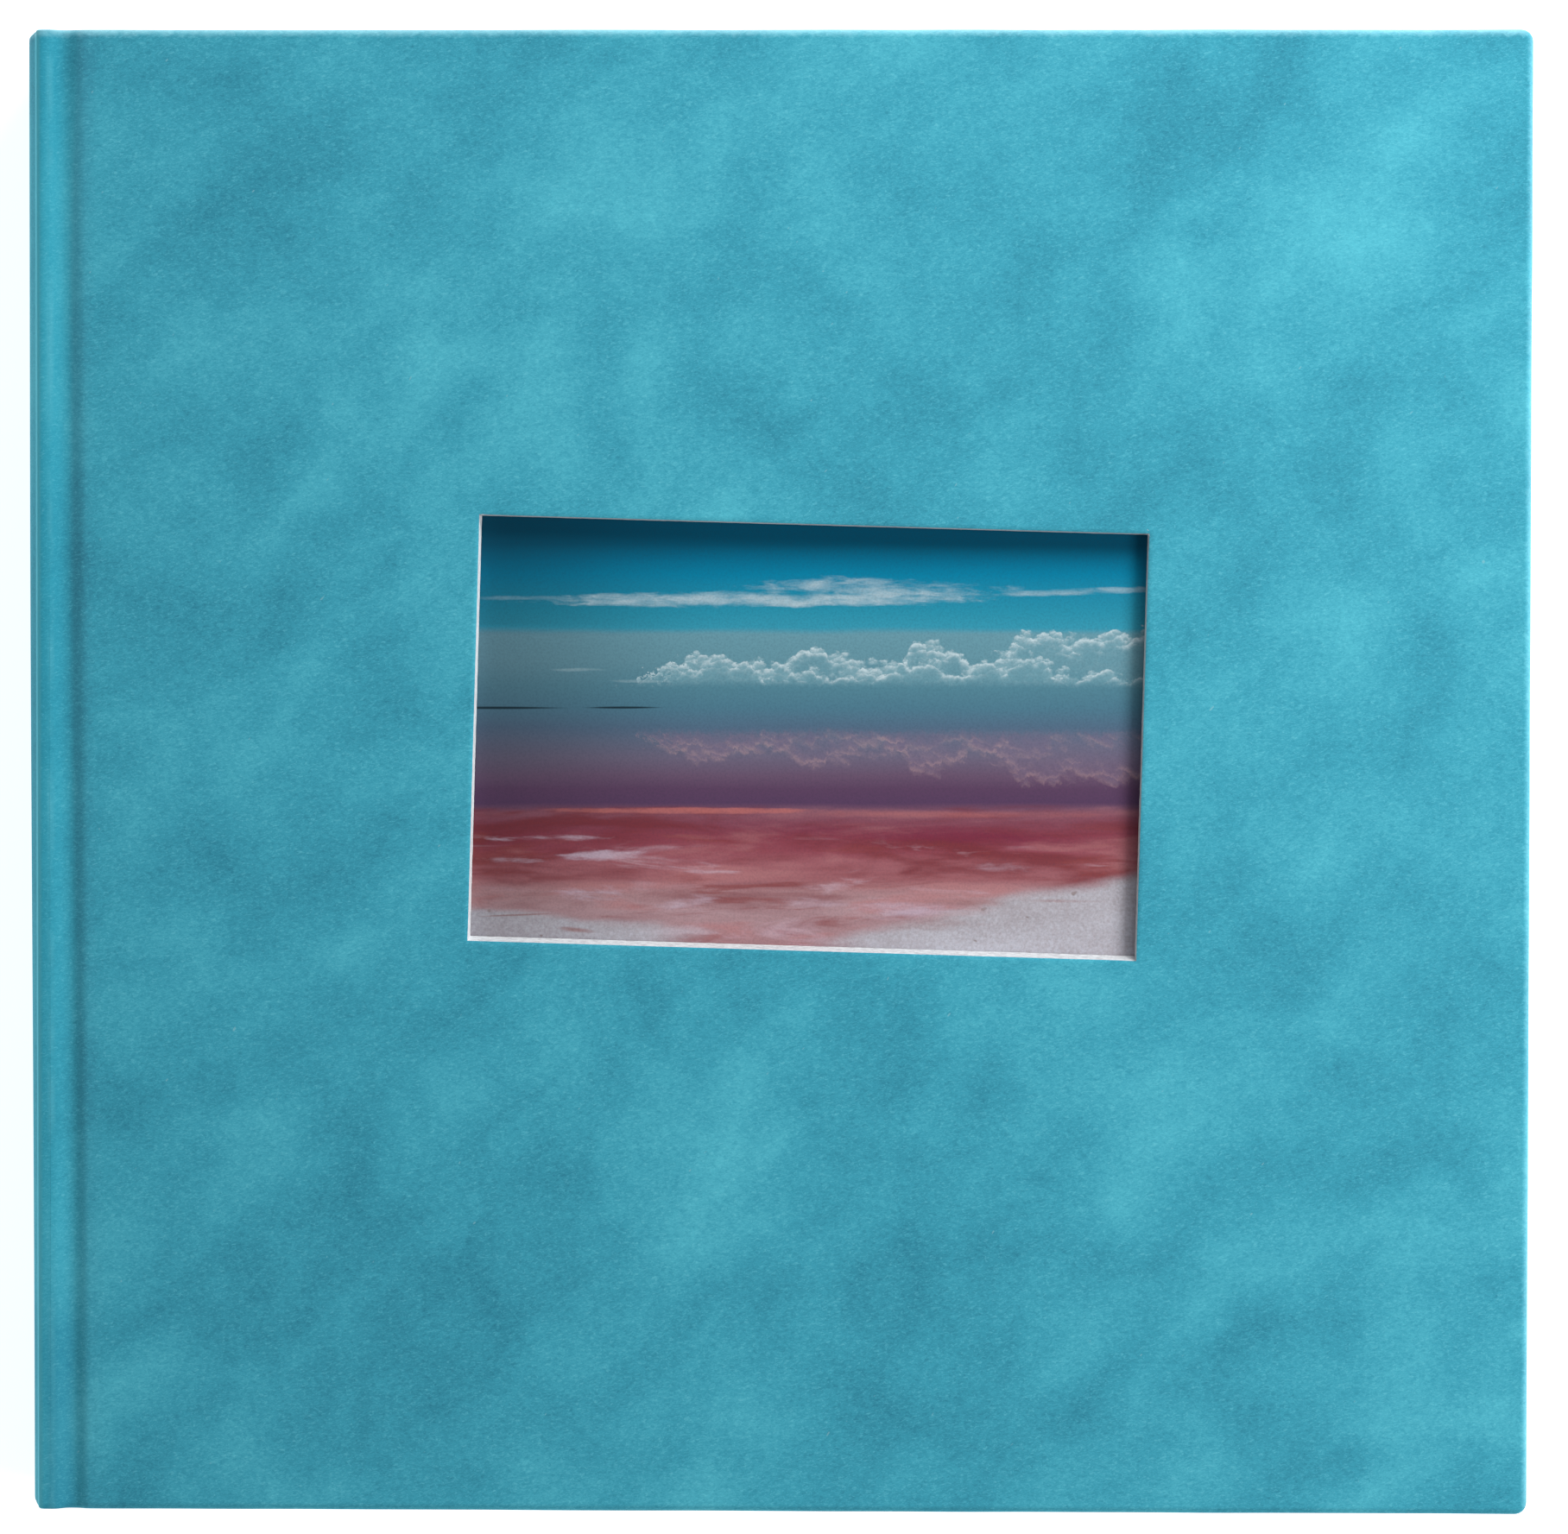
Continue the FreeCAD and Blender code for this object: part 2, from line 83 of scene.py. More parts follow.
CREASE_STEP = 0.5  # how much further in each next sheet is creased
BLOCK_BACK = -150.2  # bound edge of the sheets
BAND_PLACE = (-149.0, 151.2)
BAND_RADIUS = 1.14
BAND_ENDS = (4.3, 29.3)
LOOSE = (-148.6, -146.0)  # between these the turn-ins leave their flat for the joint


# ---- mesh helpers


def smooth(value, low, high):
    t = np.clip((value - low) / (high - low), 0, 1)
    return t * t * (3 - 2 * t)


def wave(x, y, size, seed):
    """Smooth noise from -1 to 1 with features of that size."""
    return noise.noise(Vector((x / size, y / size, 7.3 * seed)))


def fill(stops, step):
    """The stops, with even steps of at most that size between them."""
    found = [stops[0]]
    for a, b in zip(stops, stops[1:]):
        n = max(1, math.ceil(abs(b - a) / step - 1e-9))
        found += [a + (b - a) * k / n for k in range(1, n + 1)]
    return np.array(found)


def scene_object(name, data):
    """A new object of the scene."""
    made = bpy.data.objects.new(name, data)
    bpy.context.scene.collection.objects.link(made)
    return made


def face_outwards(mesh):
    bm = bmesh.new()
    bm.from_mesh(mesh)
    bmesh.ops.recalc_face_normals(bm, faces=bm.faces)
    bm.to_mesh(mesh)
    bm.free()


def piece(name, points, faces, sharp=40.0, thick=None, thinner=None):
    """A closed mesh from points and faces, or a sheet of that thickness about them.

    thinner gives each point's share of the thickness. Each point's place at rest is kept in
    the attribute rest_place, in metres, for the materials.
    """
    mesh = bpy.data.meshes.new(name)
    mesh.from_pydata([tuple(float(c) * MM for c in p) for p in points], [], faces)
    made = scene_object(name, mesh)
    face_outwards(mesh)
    if thick:
        solid = made.modifiers.new("Solid", "SOLIDIFY")
        solid.thickness = thick * MM
        solid.offset = 0
        solid.use_even_offset = True
        solid.use_quality_normals = True
        if thinner is not None:
            group = made.vertex_groups.new(name="share")
            for i, share in enumerate(thinner):
                group.add([i], float(share), "REPLACE")
            solid.vertex_group = "share"
        graph = bpy.context.evaluated_depsgraph_get()
        mesh = bpy.data.meshes.new_from_object(made.evaluated_get(graph))
        made.modifiers.clear()
        made.vertex_groups.clear()
        made.data = mesh
        mesh.name = name
        face_outwards(mesh)
    mesh.shade_smooth()
    mesh.set_sharp_from_angle(angle=math.radians(sharp))
    place = mesh.attributes.new("rest_place", "FLOAT_VECTOR", "POINT")
    co = np.zeros(len(mesh.vertices) * 3, np.float32)
    mesh.vertices.foreach_get("co", co)
    place.data.foreach_set("vector", co)
    return made


def grid_faces(rows, columns, skip=None):
    """Quads of a grid of points in row order, without the cells that skip accepts."""
    return [
        (i * columns + j, i * columns + j + 1, (i + 1) * columns + j + 1, (i + 1) * columns + j)
        for i in range(rows - 1)
        for j in range(columns - 1)
        if not (skip and skip(i, j))
    ]


def ring_faces(rings, around, first=0, joined=False):
    """Quads between rings of points in order; joined takes the last ring back to the first."""
    faces = []
    for k in range(rings if joined else rings - 1):
        here, after = first + k * around, first + (k + 1) % rings * around
        for i in range(around):
            j = (i + 1) % around
            faces.append((here + i, here + j, after + j, after + i))
    return faces


def rounded(points, radii, arc=6, step=1.0):
    """Stations along a line of (x, depth) points with rounded corners."""
    points = [np.array(p, float) for p in points]
    found, start = [points[0]], points[0]

    def straight(end):
        n = max(1, math.ceil(np.linalg.norm(end - start) / step))
        found.extend(start + (end - start) * k / n for k in range(1, n + 1))

    for before, corner, after, radius in zip(points, points[1:], points[2:], radii):
        back = (before - corner) / np.linalg.norm(before - corner)
        ahead = (after - corner) / np.linalg.norm(after - corner)
        opening = math.acos(float(np.clip(back @ ahead, -1, 1)))
        reach = radius / math.tan(opening / 2)
        middle = (back + ahead) / np.linalg.norm(back + ahead)
        centre = corner + middle * radius / math.sin(opening / 2)
        first, last = corner + back * reach, corner + ahead * reach
        if np.linalg.norm(first - start) > 1e-3:
            straight(first)
        a, b = first - centre, last - centre
        turn = math.acos(float(np.clip(a @ b / radius**2, -1, 1)))
        for k in range(1, arc + 1):
            t = k / arc
            found.append(centre + (a * math.sin((1 - t) * turn) + b * math.sin(t * turn)) / math.sin(turn))
        start = last
    straight(points[-1])
    return np.array(found)


def inward(path):
    """Unit normals of a path of (x, depth) stations, on its inner side."""
    along = np.gradient(path, axis=0)
    along /= np.linalg.norm(along, axis=1)[:, None]
    return np.stack([along[:, 1], -along[:, 0]], 1)


# ---- covering

LAYERS = 0.6  # from the covering to its turn-in where nothing lies between them
PANEL_END = FORE - 296.6  # where the flat of a cover meets the valley of its joint
SEAM_X = -149.4  # where the front panel's covering meets the spine's, on the joint's ridge
VALLEY = (-145.5, 0.82, 4.7, 3.9)  # middle of the joint's valley, depth, and half widths
_joint = rounded([(PANEL_END, FACE_DEPTH), (-151.75, 0.3), FOLD], [1.05], step=0.5)
_start = math.atan2(FOLD[1] - SPINE_CENTRE[1], FOLD[0] - SPINE_CENTRE[0])
_angles = np.linspace(_start, -math.pi, 17)[1:]
_spine = np.array(SPINE_CENTRE) + SPINE_BEND * np.stack([np.cos(_angles), np.sin(_angles)], 1)
PATH = np.concatenate([_joint, _spine])  # from the panel to half-way round the spine
SEAM = int(np.argmin(abs(PATH[:, 0] - SEAM_X)))


def valley(x, y):
    """How deep the joint's soft valley is, which wanders a little from head to tail."""
    middle, depth, left, right = VALLEY
    off = x - middle + 0.75 * y / HEAD - 0.12 * wave(0, y, 40, 12)
    right += 0.5 * y / HEAD
    share = off / (right if off > 0 else left)
    if abs(share) >= 1:
        return 0.0
    depth *= 1 - 0.12 * y / HEAD + 0.08 * wave(0, y, 17, 13)
    return depth * (0.5 + 0.5 * math.cos(math.pi * share))


def tuck(depth, y):
    """How much flatter than its card's circle the spine is, most of all at the tail."""
    across = 1 - ((depth - THICK / 2) / (THICK / 2 - FOLD[1])) ** 2
    return max(0.0, across) * (0.4 + 0.75 * smooth(-y, -60, HEAD))


FACE_Y = HEAD - RIM
FACE_X = FORE - RIM
NEAR = (0.0, 0.2, 0.45, 0.75, 1.1, 1.6, 2.4, 4.0, 7.0)  # lines near a rounded corner
BESIDE = (0.0, 0.3, 0.9, 2.2)  # lines beside the window's edge


def cross_lines():
    stops = {s * (FACE_Y - a) for a in NEAR for s in (-1, 1)}
    stops |= {WINDOW[1] + s * (WINDOW_HALF[1] + a) for a in BESIDE for s in (-1, 1)}
    stops |= {s * a for a in (136.6, 137.2, 137.8, 138.4) for s in (-1, 1)}
    return fill(sorted(stops), 5.0)


def length_lines():
    stops = {FACE_X - a for a in NEAR}
    stops |= {WINDOW[0] + s * (WINDOW_HALF[0] + a) for a in BESIDE for s in (-1, 1)}
    stops |= {PANEL_END + a for a in (0.0, 0.5, 1.5, 4.0)}
    return fill(sorted(stops, reverse=True), 5.0)


LINES_Y = cross_lines()
LINES_X = length_lines()


def inner_layer():
    """The turn-ins' stations under the path's."""
    side = inward(PATH)
    beyond = np.where(PATH[:, 1] >= FOLD[1], np.linalg.norm(PATH - np.array(FOLD), axis=1), 0)
    flat = smooth(PATH[:, 0], *LOOSE)
    apart = LAYERS + 1.1 * smooth(beyond, 0.9, 3.2) + (INNER_DEPTH - FACE_DEPTH - LAYERS) * flat
    under = PATH + side * apart[:, None]
    return np.where(flat[:, None] == 1, np.stack([PATH[:, 0], np.full(len(PATH), INNER_DEPTH)], 1), under)


UNDER = inner_layer()


def edge_profile(start, out, under, end):
    """Points from the flat face over the rim, down the edge and along the turn-in."""
    depth = np.linalg.norm(under - start)
    down = (under - start) / depth
    reach = RIM - SKIN / 2
    rim, lower = min(reach, 0.46 * depth), min(0.4, 0.46 * depth)
    found = []
    for k in range(1, 6):
        t = k / 5 * math.pi / 2
        found.append(start + out * (reach - rim + rim * math.sin(t)) + down * rim * (1 - math.cos(t)))
    for t in (0.35, 0.7):
        found.append(start + out * reach + down * (rim + (depth - rim - lower) * t))
    for k in range(5):
        t = k / 4 * math.pi / 2
        far, deep = reach - lower + lower * math.cos(t), depth - lower + lower * math.sin(t)
        found.append(start + out * far + down * deep)
    last = found[-1]
    for t in (0.12, 0.3, 0.55, 0.8, 1.0):
        found.append(last + (end - last) * t)
    return found


def inner_end(value, edge):
    """Where a turn-in's end lies for a place along its edge: mitred towards the corner."""
    corner, start = edge - TURN_IN - 0.5, edge - 56.0
    last = edge - CORNER
    if abs(value) <= start:
        return value
    share = (abs(value) - start) / (last - start)
    return math.copysign(start + share * (corner - start), value)


def window_point(u, v, turn=WINDOW_TURN):
    """A place given from the window's middle, turned about it."""
    return (
        WINDOW[0] + u * math.cos(turn) - v * math.sin(turn),
        WINDOW[1] + u * math.sin(turn) + v * math.cos(turn),
    )


def covering(name, first, last, front, panel, window=False):
    """The covering along those stations of the path, and of the panel before it, with turn-ins.

    Depths are under the outer face of the front or back cover.
    """
    path, under = PATH[first : last + 1], UNDER[first : last + 1]
    xs = LINES_X if panel else np.zeros(0)
    stations = len(xs) + len(path) - (1 if panel else 0)
    columns = len(LINES_Y)
    points, below = [], []
    for i in range(stations):
        for y in LINES_Y:
            if i < len(xs):
                x, depth, low = xs[i], FACE_DEPTH, INNER_DEPTH
                radius = CORNER - RIM
                a, b = (x - (FACE_X - radius)) / radius, (abs(y) - (FACE_Y - radius)) / radius
                px, py = x, y
                if a > 0 and b > 0:
                    px = FACE_X - radius + radius * a * math.sqrt(1 - b * b / 2)
                    py = math.copysign(FACE_Y - radius + radius * b * math.sqrt(1 - a * a / 2), y)
                if window:
                    u, v = px - WINDOW[0], py - WINDOW[1]
                    off = max(abs(u) - WINDOW_HALF[0], abs(v) - WINDOW_HALF[1], 0.0)
                    px, py = window_point(u, v, WINDOW_TURN * (1 - smooth(off, 0, 60)))
                    if off <= WINDOW_RIM:
                        depth += 0.12 * (1 - off / WINDOW_RIM)
                points.append((px, py, depth))
                below.append((px, py, low))
            else:
                k = i - len(xs) + (1 if panel else 0)
                dip = valley(path[k, 0], y) if path[k, 1] < 1 else 0.0
                loose = 1 - smooth(path[k, 0], *LOOSE)
                points.append((path[k, 0], y, path[k, 1] + dip))
                below.append((under[k, 0], y, under[k, 1] + dip * loose))

    def in_window(i, j):
        if not window or i + 1 >= len(xs):
            return False
        return (
            abs((xs[i] + xs[i + 1]) / 2 - WINDOW[0]) < WINDOW_HALF[0]
            and abs((LINES_Y[j] + LINES_Y[j + 1]) / 2 - WINDOW[1]) < WINDOW_HALF[1]
        )

    faces = grid_faces(stations, columns, in_window)
    # The face's border, from the tail of the last station round the fore edge to its head.
    border = [(i, 0) for i in range(stations - 1, -1, -1)]
    if panel:
        border += [(0, j) for j in range(1, columns - 1)]
        border += [(i, columns - 1) for i in range(stations)]
        runs = [border]
    else:
        runs = [border, [(i, columns - 1) for i in range(stations)]]
    corner_x, corner_y = FACE_X - (CORNER - RIM), FACE_Y - (CORNER - RIM)
    for run in runs:
        before = None
        for i, j in run:
            index = i * columns + j
            start, low = np.array(points[index]), np.array(below[index])
            sign = math.copysign(1.0, start[1])
            at_corner = panel and start[0] > corner_x and abs(start[1]) > corner_y
            if at_corner:
                out = np.array([start[0] - corner_x, start[1] - sign * corner_y, 0])
                out /= np.linalg.norm(out)
                middle = np.array([FORE - TURN_IN - 0.5, sign * (HEAD - TURN_IN - 0.5), INNER_DEPTH])
                end = middle + out * 0.5
            elif i == 0 and 0 < j < columns - 1 and panel:
                out = np.array([1.0, 0, 0])
                end = np.array([FORE - TURN_IN, inner_end(start[1], HEAD), INNER_DEPTH])
            else:
                out = np.array([0, sign, 0])
                x = inner_end(low[0], FORE) if panel and low[0] > 0 else low[0]
                end = np.array([x, sign * (HEAD - TURN_IN), low[2]])
            added = len(points)
            profile = edge_profile(start, out, low, end)
            points.extend(map(tuple, profile))
            chain = [index] + list(range(added, added + len(profile)))
            if before:
                faces += zip(before, before[1:], chain[1:], chain)
            before = chain

    placed = []
    for x, y, depth in points:
        flat = 1 - smooth(depth, 0.6, 1.4)
        seed = 1 if front else 2
        depth += flat * (0.045 * wave(x, y, 48, seed) + 0.018 * wave(x, y, 13, seed + 3))
        edge = smooth(abs(y), HEAD - 1.2, HEAD - 0.5)
        y += edge * 0.09 * wave(x, 0, 21, seed + 5) * math.copysign(1, y)
        x += smooth(x, FORE - 1.2, FORE - 0.5) * 0.08 * wave(y, 0, 24, seed + 6)
        if x < -140:
            x += tuck(depth, y)
        placed.append((x, y, THICK - depth if front else depth))
    return piece(name, placed, faces, sharp=50, thick=SKIN - 0.02)


front_covering = covering("front_covering", 0, SEAM, front=True, panel=True, window=True)
spine_covering = covering("spine_covering", SEAM, len(PATH) - 1, front=True, panel=False)
back_covering = covering("back_covering", 0, len(PATH) - 1, front=False, panel=True)


def bent_card():
    """The spine's card, as flat as its covering."""
    half = math.atan2(THICK / 2 - FOLD[1], SPINE_CENTRE[0] - FOLD[0]) - CARD_MARGIN / SPINE_BEND
    angles = np.linspace(-half, half, 33)
    ys = fill([0.5 - HEAD, HEAD - 0.5], 8.0)
    middle = SPINE_BEND - SKIN / 2 - 0.6
    points = []
    for angle in angles:
        for y in ys:
            x = SPINE_CENTRE[0] - middle * math.cos(angle)
            z = THICK / 2 + middle * math.sin(angle)
            points.append((x + tuck(z, y), y, z))
    return piece("bent_spine_card", points, grid_faces(len(angles), len(ys)), sharp=50, thick=CARD_THICK)


card = bent_card()

# ---- board round the window

BOARD_LOW, BOARD_HIGH = 30.5, 33.1


def window_board():
    """The front board, whose cut edge round the window slants in a little on each side."""
    rng = random.Random(11)
    half_w, half_h = WINDOW_HALF
    across, along = (np.linspace(-1, 1, count, endpoint=False) for count in (110, 70))
    ring = [(t, -1.0) for t in across] + [(1.0, t) for t in along]
    ring += [(-a, -b) for a, b in ring]
    outer_x, outer_y = (-140.95, 155.42), 152.42

    def outline(inset, z):
        found = []
        for a, b in ring:
            x = (outer_x[0] + outer_x[1]) / 2 + a * ((outer_x[1] - outer_x[0]) / 2 - inset)
            y = b * (outer_y - inset)
            if x > 0:  # the fore-edge corners are cut round
                past = max(0.0, abs(x) - (outer_x[1] - 2)) * max(0.0, abs(y) - (outer_y - 2))
                shrink = min(0.6, 0.15 * past)
                x, y = x - shrink, y - math.copysign(shrink, y)
            found.append((x, y, z))
        return found

    def cut(share, z, rough):
        """A ring on the cut edge: share is 0 at the top and 1 at the bottom."""
        found = []
        for a, b in ring:
            left, right = share * 0.42 - half_w - 0.02, half_w + 0.02 - share * 0.3
            low, high = share * 0.95 - half_h - 0.02, half_h + 0.02 - share * 0.28
            u = (left + right) / 2 + a * (right - left) / 2
            v = (low + high) / 2 + b * (high - low) / 2
            push = rough * rng.uniform(-1, 1)
            u -= push * a if abs(a) == 1 else 0
            v -= push * b if abs(b) == 1 else 0
            found.append((*window_point(u, v), z))
        return found

    # Rings of points, from the board's lower outer edge up, over and down the cut edge.
    low, high = BOARD_LOW + 0.03, BOARD_HIGH - 0.03
    sides = (0, low), (0, BOARD_HIGH - 0.68), (0.2, BOARD_HIGH - 0.3), (0.64, high)
    cuts = (
        (-0.9, high, 0), (0, high, 0.02), (0.12, BOARD_HIGH - 0.35, 0.035), (0.4, BOARD_HIGH - 1, 0.03),
        (0.72, BOARD_HIGH - 1.8, 0.035), (0.95, BOARD_LOW + 0.12, 0.02), (1, low, 0.02),
    )
    levels = [outline(*row) for row in sides] + [cut(*row) for row in cuts]
    points = [p for level in levels for p in level]
    return piece("window_board", points, ring_faces(len(levels), len(ring), joined=True), sharp=60)


board = window_board()


def fibres(name, corner, seed, count):
    """Paper fibres torn up at a corner of the window."""
    rng = random.Random(seed)
    points, faces = [], []
    for _ in range(count):
        x, y = window_point(corner[0] + rng.uniform(-0.3, 0.3), corner[1] + rng.uniform(-0.25, 0.25))
        z = THICK - rng.uniform(0.3, 0.6)
        towards = rng.uniform(0, 2 * math.pi)
        rise, long = rng.uniform(0.1, 0.5), rng.uniform(0.45, 1.0)
        width = rng.uniform(0.06, 0.12)
        first = len(points)
        for k in range(6):
            t = k / 5
            bend = towards + 0.9 * t
            cx = x + long * t * math.cos(bend)
            cy = y + long * t * math.sin(bend)
            cz = z + rise * math.sin(t * 2.2)
            w = width * (1 - 0.85 * t)
            sx, sy = -math.sin(bend) * w, math.cos(bend) * w
            points += [(cx + sx, cy + sy, cz), (cx, cy, cz + w * 0.7)]
            points += [(cx - sx, cy - sy, cz), (cx, cy, cz - w * 0.7)]
        faces += ring_faces(6, 4, first)
        faces.append((first + 3, first + 2, first + 1, first))
        last = first + 20
        faces.append((last, last + 1, last + 2, last + 3))
    return piece(name, points, faces, sharp=60)


fray_left = fibres("window_fray_left", (-WINDOW_HALF[0], WINDOW_HALF[1]), 3, 9)
fray_right = fibres("window_fray_right", (WINDOW_HALF[0], WINDOW_HALF[1]), 8, 6)

# ---- linings


def endpaper(name, front):
    """The pasted-down lining, which shows the turn-ins' ends and the board's edge through it."""
    slot_y = (WINDOW[1] - SLOT_HALF, WINDOW[1] + SLOT_HALF)
    turn_x, turn_y = FORE - TURN_IN, HEAD - TURN_IN
    xs = [FORE_PAGE, turn_x + 0.6, turn_x, turn_x - 0.6]
    xs += [SLOT_X[1] + 1.0, SLOT_X[1], SLOT_X[0], SLOT_X[0] - 1.0]
    xs += [-139.8, -140.6, HINGE_X + HINGE_REACH + 0.3]
    xs += list(np.arange(HINGE_X + HINGE_REACH, HINGE_X - HINGE_REACH - 0.01, -0.33))
    xs += [-150.0]
    xs = fill(xs, 6.0)
    stops = {-PAGE_TOP, PAGE_TOP, slot_y[0], slot_y[1]}
    stops |= {s * (turn_y + a) for s in (-1, 1) for a in (-0.6, 0, 0.6)}
    ys = fill(sorted(stops), 6.0)
    points = []
    for x in xs:
        for y in ys:
            depth = LINING_DEPTH
            near = min(abs(abs(y) - turn_y), abs(x - turn_x))
            inside = x < turn_x + 0.3 and abs(y) < turn_y + 0.3
            if near < 0.7 and (inside or near < 0.3):
                depth -= 0.05 * (1 - near / 0.7)
            depth += 0.025 * wave(x, y, 31, 9 if front else 10) * smooth(abs(x - HINGE_X), 1, 5)
            points.append((x, y, THICK - depth if front else depth))

    def in_slot(i, j):
        x, y = (xs[i] + xs[i + 1]) / 2, (ys[j] + ys[j + 1]) / 2
        return front and SLOT_X[0] < x < SLOT_X[1] and slot_y[0] < y < slot_y[1]

    return piece(name, points, grid_faces(len(xs), len(ys), in_slot), sharp=50, thick=LINING_THICK)


front_endpaper = endpaper("front_endpaper", True)
back_endpaper = endpaper("back_endpaper", False)


def hinge_strip(name, front):
    """The strip that joins a flyleaf's bound edge to the lining, with slack behind the block."""
    path = rounded(
        [(-148.2, 4.14), (-150.7, 4.14), (-151.75, 4.2), (-151.75, 3.86), (-150.7, 3.9), (-148.6, 3.9)],
        [0.8, 0.14, 0.14, 0.8],
        arc=4,
        step=0.4,
    )
    ys = fill([-149.6, 149.6], 10.0)
    points = [(x, y, THICK - d if front else d) for x, d in path for y in ys]
    return piece(name, points, grid_faces(len(path), len(ys)), sharp=60, thick=0.13)


front_strip = hinge_strip("front_hinge_strip", True)
back_strip = hinge_strip("back_hinge_strip", False)

# ---- leaves


def leaf(name, place, seed):
    """One sheet, from its bound edge over its scored crease to the fore edge."""
    rng = random.Random(seed)
    inset = min(place, SHEETS - 1 - place)
    crease = CREASE + CREASE_STEP * inset
    xs = [BLOCK_BACK, crease - 0.9]
    xs += [crease + a for a in (-0.6, -0.4, -0.2, 0.0, 0.2, 0.4, 0.6, 0.9, 3.0)]
    end = FORE_PAGE + rng.uniform(-0.45, 0.25)
    xs = fill(xs + [crease + 12, end - 3, end - 0.6, end], 13.0)
    top = PAGE_TOP - 0.05
    tail, head = -top + rng.uniform(0, 0.25), top - rng.uniform(0, 0.25)
    ys = fill([tail, tail + 0.6, tail + 5, head - 5, head - 0.6, head], 15.0)
    skew = math.radians(rng.uniform(-0.035, 0.035))
    middle = SHEET_LOW + PITCH * place + LEAF_THICK / 2
    points, share = [], []
    for x in xs:
        free = smooth(x, crease, crease + 50)
        for y in ys:
            px = x - y * math.sin(skew) * free
            round_x, round_y = max(0.0, px - (end - 1.2)), max(0.0, abs(y) - (head - 1.2))
            if round_x > 0 and round_y > 0:
                px -= 0.25 * round_x * round_y
            lift = free * (0.085 * wave(x, y, 95, seed * 0.37) + 0.035 * wave(x, y, 30, seed * 0.61 + 4))
            lift += free * 0.015 * rng.uniform(-1, 1) * (abs(x - end) < 1)
            points.append((px, y, middle + lift))
            share.append(0.55 if abs(x - crease) < 0.25 else 1.0)
    made = piece(name, points, grid_faces(len(xs), len(ys)), sharp=50, thick=LEAF_THICK, thinner=share)
    return made, crease


pages = []
for place in range(SHEETS):
    node = {0: "back_flyleaf", SHEETS - 1: "front_flyleaf"}.get(place, f"leaf_{SHEETS - 1 - place:02d}")
    made, crease = leaf(f"{node}_sheet", place, LEAF_SEED + place)
    pages.append((made, node, crease, place))

# ---- head and tail bands


def band(name, sign):
    """Two coloured threads worked round a core, at one end of the block's back."""
    low, high = BAND_ENDS
    turns, around = 240, 20
    points = []
    for i in range(turns + 1):
        t = i / turns
        z = low + (high - low) * t
        swell = 1 - 0.5 * math.exp(-min(t, 1 - t) * 90)
        for k in range(around):
            a = 2 * math.pi * k / around
            thread = abs(math.sin(math.pi * (z / 0.5 + a / (2 * math.pi))))
            r = BAND_RADIUS * swell * (0.9 + 0.1 * thread)
            points.append((BAND_PLACE[0] + r * math.cos(a), sign * BAND_PLACE[1] + r * math.sin(a), z))
    faces = ring_faces(turns + 1, around)
    faces += [tuple(range(around)), tuple(range(turns * around, (turns + 1) * around))]
    return piece(name, points, faces, sharp=70)


head_thread = band("head_band_thread", 1)
tail_thread = band("tail_band_thread", -1)

# ---- materials


def linear(*colour):
    """A colour of 0 to 255 as linear light."""
    shares = [c / 255 for c in colour]
    return (*(c / 12.92 if c <= 0.04045 else ((c + 0.055) / 1.055) ** 2.4 for c in shares), 1.0)


